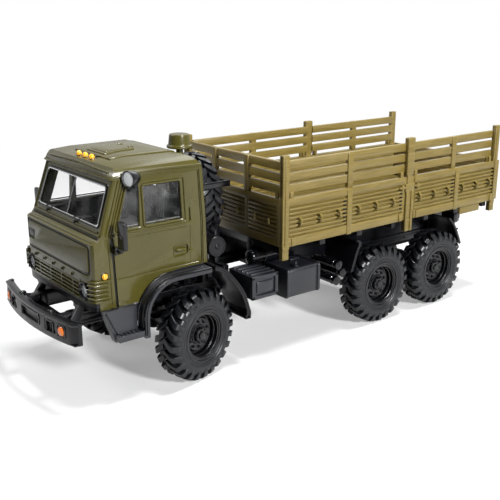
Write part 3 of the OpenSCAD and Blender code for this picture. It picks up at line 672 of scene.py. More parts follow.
# %% Geometry Nodes trees
def copies_tree(name, spacing):
    """Copies of the incoming mesh, spaced by the vector input that spacing names."""
    tree = bpy.data.node_groups.new(name, "GeometryNodeTree")
    face = tree.interface
    face.new_socket("Geometry", in_out="INPUT", socket_type="NodeSocketGeometry")
    face.new_socket("Count", in_out="INPUT", socket_type="NodeSocketInt")
    face.new_socket(spacing, in_out="INPUT", socket_type="NodeSocketVector")
    face.new_socket("Start", in_out="INPUT", socket_type="NodeSocketVector")
    face.new_socket("Material", in_out="INPUT", socket_type="NodeSocketMaterial")
    face.new_socket("Geometry", in_out="OUTPUT", socket_type="NodeSocketGeometry")
    add = tree.nodes.new
    given, result = add("NodeGroupInput"), add("NodeGroupOutput")
    points, index = add("GeometryNodePoints"), add("GeometryNodeInputIndex")
    scaled, placed = add("ShaderNodeVectorMath"), add("ShaderNodeVectorMath")
    scaled.operation, placed.operation = "SCALE", "ADD"
    copies, real = add("GeometryNodeInstanceOnPoints"), add("GeometryNodeRealizeInstances")
    paint = add("GeometryNodeSetMaterial")
    wire = tree.links.new
    wire(given.outputs["Count"], points.inputs["Count"])
    wire(given.outputs[spacing], scaled.inputs[0])
    wire(index.outputs[0], scaled.inputs["Scale"])
    wire(scaled.outputs[0], placed.inputs[0])
    wire(given.outputs["Start"], placed.inputs[1])
    wire(points.outputs[0], copies.inputs["Points"])
    wire(given.outputs["Geometry"], copies.inputs["Instance"])
    wire(placed.outputs[0], copies.inputs["Rotation"] if spacing == "Turn" else points.inputs["Position"])
    wire(copies.outputs[0], real.inputs[0])
    wire(real.outputs[0], paint.inputs["Geometry"])
    wire(given.outputs["Material"], paint.inputs["Material"])
    wire(paint.outputs[0], result.inputs[0])
    return tree


ring_of_copies = copies_tree("ring_of_copies", "Turn")
row_of_copies = copies_tree("row_of_copies", "Step")
print("trees:", ring_of_copies.name, row_of_copies.name, "of", len(row_of_copies.nodes), "nodes each")

# %% [markdown]
# A tree works on an object through a modifier. Its inputs are set by each socket's identifier, and
# then the result is taken out as a plain mesh. `ring` and `row` are the two ways this model needs.

# %% Laying out copies
def repeated(obj, tree, material, **values):
    """The object's mesh, laid out by a tree and made plain."""
    layout = obj.modifiers.new("layout", "NODES")
    layout.node_group = tree
    for item in tree.interface.items_tree:
        if item.in_out == "INPUT" and item.name in values:
            layout[item.identifier] = values[item.name]
        if item.in_out == "INPUT" and item.name == "Material":
            layout[item.identifier] = material
    return evaluated(obj)


def ring(obj, count, material, start=0.0):
    """Copies all round the Y axis, from an angle onwards."""
    return repeated(obj, ring_of_copies, material, Count=count, Turn=(0, 2 * math.pi / count, 0),
                    Start=(0, start, 0))


def row(obj, count, step, material, start=(0, 0, 0)):
    """Copies in a straight row, each one step further on."""
    return repeated(obj, row_of_copies, material, Count=count, Step=Vector(step) * MM,
                    Start=Vector(start) * MM)


def joined(name, objects, matrix=Matrix.Identity(4)):
    """One object from several, placed by a matrix."""
    bm = bmesh.new()
    for obj in objects:
        bm.from_mesh(obj.data)
    bmesh.ops.transform(bm, matrix=matrix, verts=bm.verts)
    return shaded(bpy.data.objects.new(name, mesh_from(bm, name)))


pin = row(Piece("pin").box((0, 0, 0), (1, 1, 1)).made(), 3, (0, 0, 2), black_plastic)
print("three small blocks in a row have", len(pin.data.polygons), "faces")

# %% [markdown]
# ## Wheels
# Off-road tyres have bars that start at the middle of the tread, slant outwards and turn down over the
# shoulder. A wheel is made once about its own hub, with Y as the axle and the outer face on +Y, and
# then placed at each axle end. One bar follows the tread's outline with a handful of faces, and the
# ring tree repeats it, half a step apart on the two sides.

# %% One tyre
HUB_X = ARCH_X * -1
LUGS = 24


def lug(side):
    """A bar from the middle of the tread, over the shoulder, onto the side wall."""
    # each stage of the bar: place across, radius on top, radius and place of its foot, slant along the
    # tread, half width
    course = [(0.15, TYRE_R, 12.6, 0.15, -2.3, 0.8), (1.4, TYRE_R, 12.6, 1.4, -1.2, 1.0),
              (2.6, TYRE_R, 12.5, 2.6, -0.2, 1.05), (3.35, TYRE_R - 0.18, 12.2, 3.1, 0.05, 1.05),
              (3.74, TYRE_R - 0.5, 11.9, 3.4, 0.1, 1.02), (4.06, TYRE_R - 1.05, 11.5, 3.7, 0.1, 1.0),
              (4.28, TYRE_R - 1.8, 11.0, 4.0, 0.1, 0.92), (4.38, TYRE_R - 3.2, 10.6, 4.15, 0.1, 0.82)]
    part = bmesh.new()
    rows = []
    for across, top, foot, foot_y, slant, half in course:
        ring_points = []
        corners = (-half, foot, foot_y), (half, foot, foot_y), (half, top, across), (-half, top, across)
        for along, radius, y in corners:
            a = (slant + along) / TYRE_R
            place = Vector((radius * math.sin(a), side * y, radius * math.cos(a)))
            ring_points.append(part.verts.new(place * MM))
        rows.append(ring_points)
    for a, b in zip(rows, rows[1:]):
        for i in range(4):
            part.faces.new((a[i], a[(i + 1) % 4], b[(i + 1) % 4], b[i]))
    part.faces.new(rows[0][::-1])
    part.faces.new(rows[-1])
    bmesh.ops.recalc_face_normals(part, faces=part.faces)
    crown = [e for e in part.edges if e.calc_face_angle(0) > 0.8]
    bmesh.ops.bevel(part, geom=crown, offset=0.12 * MM, segments=1, affect="EDGES", clamp_overlap=True)
    return bpy.data.objects.new("lug", mesh_from(part, "lug"))


def carcass():
    """The tyre without its bars: crown, shoulders, and side walls with their moulded rings."""
    half = [(0.0, 12.95), (2.4, 12.85), (3.3, 12.6), (3.85, 12.1), (4.15, 11.5), (4.3, 10.8), (4.36, 10.1),
            (4.3, 9.6), (4.16, 9.45), (4.16, 9.3), (4.26, 9.2), (4.22, 8.8), (4.05, 8.6), (4.1, 8.35),
            (4.3, 8.2), (4.3, 7.9), (4.1, 7.6), (3.7, 7.45)]
    outline = half + [(-y, r) for y, r in half[:0:-1]]
    return Piece("carcass").turned(outline + outline[:1], (HUB_X, 0, 0), (0, 1, 0), 96).made()


def tyre_mesh():
    parts = [carcass(), ring(lug(1), LUGS, rubber), ring(lug(-1), LUGS, rubber, math.pi / LUGS)]
    return joined("tyre", parts)


tyre = tyre_mesh()
print("tyre has", len(tyre.data.polygons), "faces")

# %% [markdown]
# The rim is a deep dish with a rolled edge. Its disc carries a ring of nuts round the hub cap, and the
# hub cap has a raised collar with notches.

# %% One rim
def nut(radius, height, at_radius, at_y, sides=6):
    """One nut, stud or rivet above the hub, ready for the ring tree."""
    profile = [(at_y - 0.1, 0), (at_y - 0.1, radius), (at_y + height, radius), (at_y + height, 0)]
    return Piece("nut").turned(profile, (HUB_X, 0, at_radius), (0, 1, 0), sides, bevel=0.07).made()


def rim_mesh(bore):
    """A rim with a bore for its axle, turned from its back to its front."""
    back = [(2.0, 0), (2.0, bore), (-2.2, bore), (-2.2, 2.4), (-0.5, 2.6), (-0.5, 6.2), (-3.85, 6.7),
            (-3.85, 7.45)]
    front = [(3.85, 7.45), (3.9, 7.2), (3.8, 6.95), (3.5, 6.85), (3.35, 6.6), (2.2, 6.5), (2.0, 6.3),
             (0.6, 6.1), (0.4, 5.75), (0.6, 5.45), (1.35, 5.2), (1.55, 5.0), (1.55, 4.85), (1.45, 4.7),
             (1.45, 3.2), (1.75, 3.0), (1.8, 2.8), (1.6, 2.6), (1.6, 2.45), (2.7, 2.3), (2.85, 2.15),
             (2.85, 1.75), (2.7, 1.6), (2.7, 1.3), (3.15, 1.2), (3.25, 1.0), (3.25, 0)]
    dish = Piece("dish").turned(back + front, (HUB_X, 0, 0), (0, 1, 0), 64).made()
    nuts = ring(nut(0.45, 0.5, 4.0, 1.45), 10, rim_black)
    studs = ring(nut(0.17, 0.8, 4.0, 1.45, 8), 10, rim_black)
    small = ring(nut(0.26, 0.25, 2.0, 2.85, 8), 8, rim_black)
    rivets = ring(nut(0.3, 0.2, 5.95, 0.35, 8), 16, rim_black)
    return joined("rim", [dish, nuts, studs, small, rivets])


print("a nut stands", round(max(v.co.z for v in nut(0.45, 0.5, 4.0, 1.45).data.vertices) / MM, 2), "mm out")

# %% [markdown]
# The frame says where each wheel turns, and the wheels are placed by that. The front ones stand a
# little to the left, as their joints do. Behind, two wheels and a steel rod turn as one, so both wheels
# of an axle are one piece.

# %% Wheels on their axles
WHEEL_Y = high("tyres_middle").y - 4.4
AXLE_BORE, STUB_BORE = 0.93, 0.99


def wheel_places(joint_name):
    """The matrices that carry a wheel from its own hub to the truck, outer face outwards."""
    joint = next(j for j in frame["joints"] if j["name"] == joint_name)
    centre, axis = Vector(joint["pos_m"]), Vector(joint["axis"])
    turn = Matrix.Rotation(math.atan2(-axis.x, axis.y), 4, "Z")
    sides = (1, -1) if abs(centre.y) < MM else (math.copysign(1, centre.y),)
    reach = 0 if len(sides) == 1 else WHEEL_Y
    return [Matrix.Translation(centre + Vector((0, s * reach * MM, 0))) @ turn
            @ Matrix.Rotation(0 if s > 0 else math.pi, 4, "Z") for s in sides]


for place, joint_name in (("front_left", "spin_front_left"), ("front_right", "spin_front_right"),
                          ("middle", "spin_middle"), ("rear", "spin_rear")):
    many = place in ("middle", "rear")
    body = ("wheelset_" if many else "wheel_") + place
    stem = ("tyres_" if many else "tyre_") + place, ("rims_" if many else "rim_") + place
    spots = wheel_places(joint_name)
    tyres = joined(stem[0] + "_lugged", [joined("t", [tyre], m) for m in spots])
    dress(tyres, body, rubber, "tyre", stem[0])
    rim = rim_mesh(AXLE_BORE if many else STUB_BORE)
    rims = joined(stem[1] + "_dished", [joined("r", [rim], m) for m in spots])
    dress(rims, body, rim_black, "black_plastic", stem[1])

# %% [markdown]
# The spare stands upright behind the cab, with its outer face to the bed. It is the same tyre and rim,
# turned a quarter.

# %% Spare wheel
spare = middle("spare_tyre")
to_rear = Matrix.Translation(spare * MM) @ Matrix.Rotation(math.pi / 2, 4, "Z")
dress(joined("spare_tyre_lugged", [tyre], to_rear), "chassis", rubber, "tyre", "spare_tyre")
spare_rim = joined("spare_rim_dished", [rim_mesh(STUB_BORE)], to_rear)
dress(spare_rim, "chassis", rim_black, "black_plastic", "spare_rim")

# %% [markdown]
# ## Cab
# The cab's skin is flat on its sides, bends back towards them at the front, and is stepped down its
# front. Grooves, mouldings and bars all have to lie on it. They could be projected onto the shell, but
# two small functions that say where the skin is are simpler and never miss.

# %% Where the cab's skin lies
BEND_R = 12.8
BEND_Y = CAB_HALF - 6.2
# height and station of each step of the front, from the bottom to the roof
FRONT_LINE = [(CAB_BOTTOM - 1, FACE_X), (CAB_BOTTOM + 10.3, FACE_X), (WAIST_Z - 1.3, FACE_X - 1.1),
              (WAIST_Z - 0.6, FACE_X - 3), (WAIST_Z + 0.8, FACE_X - 4), (HEAD_Z + 1.2, 25.0),
              (HEAD_Z + 1.6, 25.8), (CAB_TOP - 1.7, 24.2)]


def front_x(y, z):
    """Station of the front skin at a place across and up."""
    x = FRONT_LINE[-1][1]
    for (z0, x0), (z1, x1) in zip(FRONT_LINE, FRONT_LINE[1:]):
        if z0 <= z <= z1:
            x = x0 + (x1 - x0) * (z - z0) / (z1 - z0)
            break
    over = max(abs(y) - BEND_Y, 0)
    return min(x, FACE_X - BEND_R + math.sqrt(BEND_R ** 2 - over ** 2))


def side_y(z):
    """Half width of the cab at a height."""
    return CAB_HALF - max(0, min(1, (z - WAIST_Z) / (GUTTER_Z - 0.3 - WAIST_Z)))


def across(y0, y1, z, out=0.0, step=1.2):
    """Points on the front skin from one side to the other."""
    count = max(2, round(abs(y1 - y0) / step))
    places = [y0 + (y1 - y0) * i / count for i in range(count + 1)]
    return [(front_x(y, z) + out, y, z) for y in places]


def on_side(points, out=0.0):
    """Points of a line in x and z laid on the cab's left side."""
    return [(x, side_y(z) + out, z) for x, z in points]


def round_corners(points, radius, steps=4):
    """A closed outline with its corners replaced by short arcs."""
    result = []
    for i, p in enumerate(points):
        p, a, b = Vector(p), Vector(points[i - 1]), Vector(points[(i + 1) % len(points)])
        to_a, to_b = (a - p).normalized() * radius, (b - p).normalized() * radius
        for k in range(steps + 1):
            t = k / steps
            result.append(tuple((p + to_a) * (1 - t) ** 2 + p * 2 * t * (1 - t) + (p + to_b) * t ** 2))
    return result


def soft_rect(a0, b0, a1, b1, radius):
    """A rectangle from one corner to the opposite one, with rounded corners."""
    return round_corners([(a0, b0), (a1, b0), (a1, b1), (a0, b1)], radius)


def finely(outline, step):
    """A closed outline with points set along it about every step."""
    points = []
    for a, b in zip(outline, outline[1:] + outline[:1]):
        count = max(1, round(math.dist(a, b) / step))
        points += [(a[0] + (b[0] - a[0]) * i / count, a[1] + (b[1] - a[1]) * i / count) for i in range(count)]
    return points


print("the front skin leans back", round(front_x(0, WAIST_Z + 1) - front_x(0, HEAD_Z), 1),
      "mm from waist to head")

# %% [markdown]
# The seams round the doors and the hinged front panel are pressed into the skin. Each one is cut by a
# thin bar that lies on the skin and bites a few tenths of a millimetre into it.

# %% Seams of the shell
DOOR_FRONT, DOOR_REAR = 26.9, 1.0
PANEL_HALF, PANEL_LOW, PANEL_HIGH = 20.4, CAB_BOTTOM + 10.7, WAIST_Z - 1.9
GRILLE_HALF, GRILLE_LOW, GRILLE_HIGH = 14.9, CAB_BOTTOM + 2.7, CAB_BOTTOM + 7.3
SEAM_R = 0.42
LAMP_Y, LAMP_Z, LAMP_R = 17.6, CAB_BOTTOM + 5.3, 1.9


def door_seams():
    """Bars that cut the doors' outlines, the line below them and the seam of the rear corner."""
    p = Piece("door_seams")
    front_edge = [(DOOR_FRONT, WAIST_Z - 0.2), (DOOR_FRONT - 0.3, 40), (DOOR_FRONT - 0.8, CAB_BOTTOM - 0.5)]
    p.tube(on_side(front_edge, -0.15), SEAM_R, 10)
    p.tube(on_side([(DOOR_REAR, WAIST_Z - 0.6), (DOOR_REAR, CAB_BOTTOM + 8.8)]), 0.17, 8)
    corner = [(CAB_REAR + 2.1, CAB_BOTTOM + 1), (CAB_REAR + 2.1, WAIST_Z), (CAB_REAR + 2.5, HEAD_Z + 1)]
    p.tube(on_side(corner, -0.1), 0.3, 8)
    p.tube(on_side([(DOOR_FRONT - 0.9, CAB_BOTTOM + 8.2), (CAB_REAR + 3, CAB_BOTTOM + 8.2)]), 0.2, 8)
    return p.mirrored().made()


def panel_line():
    """The outline of the hinged front panel, laid on the skin."""
    outline = soft_rect(-PANEL_HALF, PANEL_LOW, PANEL_HALF, PANEL_HIGH, 1.2)
    return [(front_x(y, z), y, z) for y, z in finely(outline, 1.2)]


# %% [markdown]
# The moulded cab is the CAD shell with its seams pressed in, and with shallow recesses for the door
# handle, the ventilation slot, the grille and a badge, whose place stays bare. All the cuts come
# before the Bevel, so that their rims are rounded too.

# %% Recesses, and the finished shell
def side_dish(x0, x1, z0, z1, depth, radius):
    """A soft-cornered recess in both sides."""
    return Piece("dish").plate(soft_rect(x0, z0, x1, z1, radius), side_y(z1) - depth, CAB_HALF + 1,
                               bevel=0).mirrored().made()


def front_recess(y0, y1, z0, z1, depth):
    """A recess in the front skin, as deep as depth below its lowest corner."""
    base = min(front_x(y0, z0), front_x(y0, z1), front_x(y1, z0), front_x(y1, z1))
    return Piece("recess").wall(soft_rect(y0, z0, y1, z1, 0.3), base - depth, FACE_X + 2, bevel=0).made()


shell = merged("cab_moulded", "cab_shell")
groove = Piece("groove").tube([(x - 0.12, y, z) for x, y, z in panel_line()], 0.45, 10, closed=True).made()
cowl_groove = Piece("cowl_groove").tube(across(-21.0, 21.0, WAIST_Z + 0.1, 0.1), 0.36, 10).made()
pockets = Piece("pockets")
for side in (1, -1):
    pockets.turned([(-1.6, 0), (-1.6, 2.75), (2, 2.75), (2, 0)], (FACE_X, side * LAMP_Y, LAMP_Z), (1, 0, 0),
                   40)
carved(shell, door_seams(), groove, cowl_groove, pockets.made())
carved(shell, side_dish(1.9, 6.6, 39.6, 42.6, 0.55, 1.0), side_dish(0.6, 1.4, 49.4, 53.6, 0.45, 0.35),
       front_recess(-20.0, -14.9, 41.2, 44.2, 0.25),
       front_recess(-GRILLE_HALF, GRILLE_HALF, GRILLE_LOW, GRILLE_HIGH, 0.75))
rounded(shell, 0.22, 2, 30)
dress(shell, "cab", cab_paint, "cab_paint", "cab_shell")
print("cab shell has", len(shell.data.polygons), "faces")

# %% [markdown]
# Mouldings stand on the skin: the gutter round the roof, the ledge over the screen, the frames of the
# side windows, the double line under them, the pillar's ridges and the rounded cowl. They are bent bars
# that follow the two skin functions.

# %% Mouldings
WINDOW_Z0, WINDOW_Z1 = WAIST_Z + 1.8, HEAD_Z - 1.1
QUARTER = [(17.9, WINDOW_Z0), (25.4, WINDOW_Z0), (21.4, WINDOW_Z1), (17.5, WINDOW_Z1)]
MAIN = [(3.7, WINDOW_Z0), (16.2, WINDOW_Z0), (16.3, WINDOW_Z1), (3.9, WINDOW_Z1)]
DOOR_TOP = [(2.3, WINDOW_Z0 - 0.9), (26.9, WINDOW_Z0 - 0.9), (22.2, WINDOW_Z1 + 1.0), (2.5, WINDOW_Z1 + 1.0)]


def grown(outline, by):
    """A convex outline pushed outwards."""
    middle_x = sum(p[0] for p in outline) / len(outline)
    middle_z = sum(p[1] for p in outline) / len(outline)
    return [(x + math.copysign(by, x - middle_x), z + math.copysign(by, z - middle_z)) for x, z in outline]


def cab_mouldings():
    """All the bars of one side, their mirror images, and then those that go right across."""
    p = Piece("cab_mouldings")
    for outline, radius, by in ((QUARTER, 0.34, 0.2), (MAIN, 0.34, 0.2), (DOOR_TOP, 0.28, 0.0)):
        p.tube(on_side(round_corners(grown(outline, by), 0.9), 0.15), radius, 10, closed=True)
    for z, radius, x0, x1 in ((WAIST_Z + 0.35, 0.34, 2.0, 27.3), (WAIST_Z - 0.75, 0.22, 2.0, 27.0)):
        p.tube(on_side([(x1, z), (x0, z)], 0.0), radius, 8)
    corner = [(CAB_REAR + 1.2, CAB_BOTTOM + 7.8), (CAB_REAR + 1.2, WAIST_Z), (CAB_REAR + 1.7, HEAD_Z + 1.2)]
    p.tube(on_side(corner, 0.05), 0.4, 8)
    p.tube([(27.6, CAB_HALF + 0.05, CAB_BOTTOM + 1), (28.0, CAB_HALF + 0.05, WAIST_Z - 1)], 0.22, 8)
    # pillar ridges beside the screen
    for x0, x1, y0, radius in ((29.85, 24.75, CAB_HALF - 0.5, 0.62), (28.6, 23.5, CAB_HALF + 0.02, 0.3),
                               (27.6, 22.6, CAB_HALF + 0.02, 0.24)):
        p.tube([(x0, y0, WAIST_Z + 0.9), (x1, y0 - 0.85, HEAD_Z + 1.3)], radius, 8)
    p.mirrored()
    # cowl, shelf and the edge over the front panel
    for z, radius, out, half in ((WAIST_Z + 1.6, 0.34, 0.0, 19.9), (WAIST_Z + 0.75, 0.5, -0.1, 21.3),
                                 (WAIST_Z - 0.95, 0.42, -0.1, 20.9)):
        p.tube(across(-half, half, z, out), radius, 8)
    # ledge over the screen, carried round into the side gutters
    ledge = across(-20.6, 20.6, HEAD_Z + 1.55, 0.35)
    p.tube(ledge, 0.42, 8, flat=0.7)
    p.tube([(25.2, -18.6, CAB_TOP - 3.0), (25.3, 0, CAB_TOP - 2.3), (25.2, 18.6, CAB_TOP - 3.0)], 0.3, 8)
    for s in (1, -1):
        gutter = [(25.9, s * 20.7, HEAD_Z + 1.6), (25.0, s * 21.25, HEAD_Z + 1.9),
                  (22, s * 21.35, GUTTER_Z - 0.7), (10, s * 21.35, GUTTER_Z - 0.3),
                  (CAB_REAR + 1.2, s * 21.35, GUTTER_Z - 0.7)]
        p.tube(gutter, 0.36, 8)
        for z in (GUTTER_Z - 1.5, GUTTER_Z - 2.25):
            p.tube([(23.4, s * 21.2, z - 0.1), (CAB_REAR + 1.6, s * 21.2, z)], 0.2, 8)
    return p


cab_mouldings().done("cab", cab_paint, "cab_paint")

# %% [markdown]
# The roof is stiffened by a raised middle with a hatch on it. Its top follows the roof's two slopes, so it
# is laid out as a small grid of heights and closed underneath.

# %% Roof panel and hatch
def roof_z(x, y):
    """Height of the roof, which slopes both ways along and falls a little to the sides."""
    along = [(-1.5, CAB_TOP - 1.1), (5, CAB_TOP), (16, CAB_TOP - 0.5), (24.2, CAB_TOP - 1.7)]
    z = along[-1][1]
    for (x0, z0), (x1, z1) in zip(along, along[1:]):
        if x <= x1:
            z = z0 + (z1 - z0) * max(0, x - x0) / (x1 - x0)
            break
    return min(z, CAB_TOP - 0.9 * abs(y) / 17.8)


def roof_slab(p, x0, x1, half, lift, bevel, taper=0.0):
    """A raised field whose top follows the roof; taper narrows it towards the front."""
    nx, ny = 12, 8
    top, under = [], []
    for i in range(nx + 1):
        x = x0 + (x1 - x0) * i / nx
        h = half - taper * i / nx
        ys = [-h + 2 * h * j / ny for j in range(ny + 1)]
        top.append([station(x, y, roof_z(x, y) + lift) for y in ys])
        under.append([station(x, y, roof_z(x, y) - 0.4) for y in reversed(ys)])
    return p.solid([t + u for t, u in zip(top, under)], bevel=bevel, segments=2)


def cab_roof():
    """The raised middle, the hatch with its frame and ribs, and the hatch's two hinges."""
    p = Piece("roof_panel")
    roof_slab(p, -0.8, 20.4, 12.2, 0.4, 0.2, 1.2)
    roof_slab(p, 9.2, 19.2, 5.6, 0.75, 0.2)
    roof_slab(p, 10.2, 18.2, 4.6, 0.9, 0.2)
    for y in (-2.4, 0, 2.4):
        p.tube([(11.0, y, CAB_TOP + 0.4), (17.6, y, CAB_TOP + 0.07)], 0.22, 8)
    for y in (-3.2, 3.2):
        p.box((8.4, y - 0.6, CAB_TOP - 0.5), (9.9, y + 0.6, CAB_TOP + 0.72), 0.15)
    return p


cab_roof().done("cab", cab_paint, "cab_paint")

# %% [markdown]
# The lower front carries a grille of four slots with uprights and a row of knobs above it.

# %% Grille and knobs
def front_fittings():
    """Five bars, four uprights and five turned knobs."""
    p = Piece("front_fittings")
    for i in range(5):
        z = GRILLE_LOW + (GRILLE_HIGH - GRILLE_LOW) * i / 4
        p.box((FACE_X - 1.0, -GRILLE_HALF, z - 0.26), (FACE_X + 0.12, GRILLE_HALF, z + 0.26), 0.14)
    for y in (-11.1, -3.7, 3.7, 11.1):
        p.box((FACE_X - 1.0, y - 0.32, GRILLE_LOW), (FACE_X + 0.06, y + 0.32, GRILLE_HIGH), 0.14)
    for i in range(5):
        y = -13.6 + 6.2 * i
        p.turned([(-0.4, 0), (-0.4, 0.62), (0.05, 0.62), (0.3, 0.4), (0.62, 0.4), (0.75, 0.25), (0.75, 0)],
                 (FACE_X, y, CAB_BOTTOM + 8.9), (1, 0, 0), 16)
    return p


front_fittings().done("cab", cab_paint, "cab_paint")

# %% [markdown]
# Ribbed vents wrap round the front corners beside the headlamps. Each rib is a slab whose plan follows
# the corner, so one outline function serves them all, with a larger or smaller distance from the skin.

# %% Corner vents
def corner_outline(out, y0, x1):
    """Plan of a block that wraps round the cab's left front corner."""
    ys = [y0, (y0 + CAB_HALF) / 2, CAB_HALF - 0.3]
    z = CAB_BOTTOM + 5
    front = [(front_x(y, z) + out, y) for y in ys]
    edge = [(front_x(CAB_HALF, z) + out - 0.25, CAB_HALF + out * 0.8),
            (front_x(CAB_HALF, z) - 0.3, CAB_HALF + out)]
    return front + edge + [(x1, CAB_HALF + out), (x1, CAB_HALF - 0.6), (30.6, CAB_HALF - 0.8), (32.4, y0)]


def corner_vents():
    """A back plate, a bar above and below, and four deep ribs."""
    p = Piece("corner_vents")
    z0, z1 = CAB_BOTTOM + 2.5, CAB_BOTTOM + 9.0
    p.slab(corner_outline(0.45, 20.4, 28.3), z0, z1, 0.18)
    for z, tall in ((z0 + 0.1, 0.55), (z1 - 0.6, 0.6)):
        p.slab(corner_outline(0.95, 20.3, 28.1), z, z + tall, 0.24)
    for i in range(4):
        z = z0 + 1.15 + 1.28 * i
        p.slab(corner_outline(1.35, 20.6, 28.9), z, z + 0.66, 0.28, 3)
    return p.mirrored()


corner_vents().done("cab", cab_paint, "cab_paint")

# %% [markdown]
# A gap between two panels is dark because no light gets out of it. These gaps are too narrow to darken
# by themselves, so their shade is painted: a black bar lies at the bottom of each, as do black plates
# behind the grille and in the badge's place.

# %% Painted shade in the gaps
def painted_gap_shade():
    """Painted shade: black bars in the gaps round the front panel and along the door's front edge, and the black
    plate behind the grille.
    """
    p = Piece("painted_gap_shade")
    p.tube([(x - 0.42, y, z) for x, y, z in panel_line()], 0.3, 8, closed=True)
    p.tube(across(-20.8, 20.8, WAIST_Z + 0.1, -0.22), 0.26, 8)
    p.box((FACE_X - 0.9, -GRILLE_HALF + 0.05, GRILLE_LOW), (FACE_X - 0.7, GRILLE_HALF - 0.05, GRILLE_HIGH), 0)
    base = min(front_x(-20.0, 41.2), front_x(-20.0, 44.2))
    p.wall(soft_rect(-19.8, 41.4, -15.1, 44.0, 0.3), base - 0.6, base - 0.15, 0.1)
    for s in (1, -1):
        edge = [(DOOR_FRONT, WAIST_Z - 0.4), (DOOR_FRONT - 0.3, 40), (DOOR_FRONT - 0.8, CAB_BOTTOM + 0.2)]
        p.tube([(x, s * y, z) for x, y, z in on_side(edge, -0.35)], 0.3, 8)
    return p


painted_gap_shade().done("cab", black_plastic, "black_plastic")

# %% [markdown]
# Beads along the fenders' rims and a bar down the step make them read as thin pressed parts. The wheel
# arch is a circle, so one function gives its points for a bead at any distance from its centre.

# %% Beads of the fenders and steps
ARCH_FROM_X, ARCH_FROM_Z = 8.6, CAB_BOTTOM - 4.3


def arch_line(radius, y, a0=0, a1=96, steps=24):
    """The wheel arch at a distance from its centre, from the step up and over to the rear."""
    turns = [math.radians(a0 + (a1 - a0) * i / steps) for i in range(steps + 1)]
    return [(ARCH_FROM_X + radius * math.cos(a), y, ARCH_FROM_Z + radius * math.sin(a)) for a in turns]


def fender_beads():
    """Beads round the arch, treads on the step, the step's edge and a rubber stop."""
    p = Piece("fender_beads")
    flare_y = high("cab_fenders").y
    rear = low("cab_fenders").x - ARCH_X + 0.3
    for radius, y, r in ((11.0, flare_y - 0.35, 0.5), (11.25, flare_y - 1.6, 0.22),
                         (11.25, CAB_HALF + 0.5, 0.3)):
        ends = (ARCH_FROM_X + radius, y, CAB_BOTTOM - 9), (rear, y, ARCH_FROM_Z + radius)
        p.tube([ends[0]] + arch_line(radius, y, 0, 90) + [ends[1]], r, 8)
    for i in range(6):
        x = 20.6 + 1.25 * i
        p.box((x, CAB_HALF + 1.7, CAB_BOTTOM - 7.55), (x + 0.5, CAB_HALF + 4.0, CAB_BOTTOM - 7.2), 0.12)
    p.tube([(26.9, CAB_HALF + 1.9, CAB_BOTTOM - 9), (30.9, CAB_HALF + 1.9, CAB_BOTTOM - 0.4)], 0.25, 8)
    p.turned([(-0.3, 0), (-0.3, 0.6), (0.45, 0.6), (0.6, 0.4), (0.6, 0)],
             (27.8, CAB_HALF + 0.3, CAB_BOTTOM - 0.4), (0, 1, 0), 12)
    return p.mirrored()


fender_beads().done("cab", gloss_black, "black_plastic")

# %% [markdown]
# Each door has a pull handle in a dished frame, moulded with the cab and so in its paint. The wipers are
# black and lie on the screen.

# %% Door handles and wipers
HANDLE_Z = 41.2


def door_handles():
    """The handle, its lock, the rim of its dish and a small round catch behind the door."""
    p = Piece("door_handles")
    p.tube([(2.5, CAB_HALF - 0.35, HANDLE_Z), (2.9, CAB_HALF + 0.15, HANDLE_Z),
            (5.6, CAB_HALF + 0.15, HANDLE_Z), (6.0, CAB_HALF - 0.35, HANDLE_Z)], 0.42, 8, flat=0.8)
    p.tube([(0.6, CAB_HALF + 0.02, 40.9), (1.5, CAB_HALF + 0.2, 40.9)], 0.3, 8)
    p.tube([(x, CAB_HALF, z) for x, z in soft_rect(1.7, 39.4, 6.8, 42.8, 1.1)], 0.2, 8, closed=True)
    cap = [(-0.2, 0), (-0.2, 0.5), (0.4, 0.5), (0.55, 0.3), (0.55, 0)]
    p.turned(cap, (CAB_REAR + 1.2, CAB_HALF, 44.8), (0, 1, 0), 12)
    return p.mirrored()


def wipers():
    """An arm, a blade and a round foot for each half of the screen."""
    p = Piece("wipers")
    for y in (-12.5, 6.0):
        a, b = (front_x(y, 50.6) + 0.25, y, 50.6), (front_x(y + 4, 53.4) + 0.3, y + 5.5, 53.2)
        p.tube([a, b], 0.2, 6)
        p.tube([(front_x(0, 52.0) + 0.35, b[1] - 6.5, 51.8), (front_x(0, 53.4) + 0.35, b[1] + 4.0, 53.9)],
               0.2, 6)
        p.turned([(-0.3, 0), (-0.3, 0.5), (0.4, 0.45), (0.4, 0)], a, (1, 0, 0.35), 12)
    return p


door_handles().done("cab", cab_paint, "cab_paint")
wipers().done("cab", black_plastic, "black_plastic")

# %% [markdown]
# Under the beads lie the fenders and the valance below the grille. The CAD shapes are right, so they are
# copied and only their edges are softened, the fenders' by more.

# %% Fenders and valance
soft_copy("cab_fenders", "cab", satin_black, "black_plastic", 0.45, 3)
soft_copy("front_valance", "cab", black_plastic, "black_plastic", 0.2)

# %% [markdown]
# The lamps are small turned shapes: a black ring, a bowl with a painted glow inside it and a clear lens
# that closes the bowl. Each line goes from the back of the lamp to its front, as (place along the axis, radius).

# %% Headlamps and searchlight
def lamp_set(name, places, axis, ring_line, bowl_line, lens_line, replaced):
    """A ring, a bowl and a lens at each place, as three pieces on the cab."""
    for part, line, material, slot in (("ring", ring_line, gloss_black, "black_plastic"),
                                       ("bowl", bowl_line, lamp_bowl, "steel"),
                                       ("lens", lens_line, lamp_glass, "lamp_lens")):
        p = Piece(name + "_" + part)
        for place in places:
            p.turned(line, place, axis, 40)
        p.done("cab", material, slot, *([replaced] if part == "ring" else []))


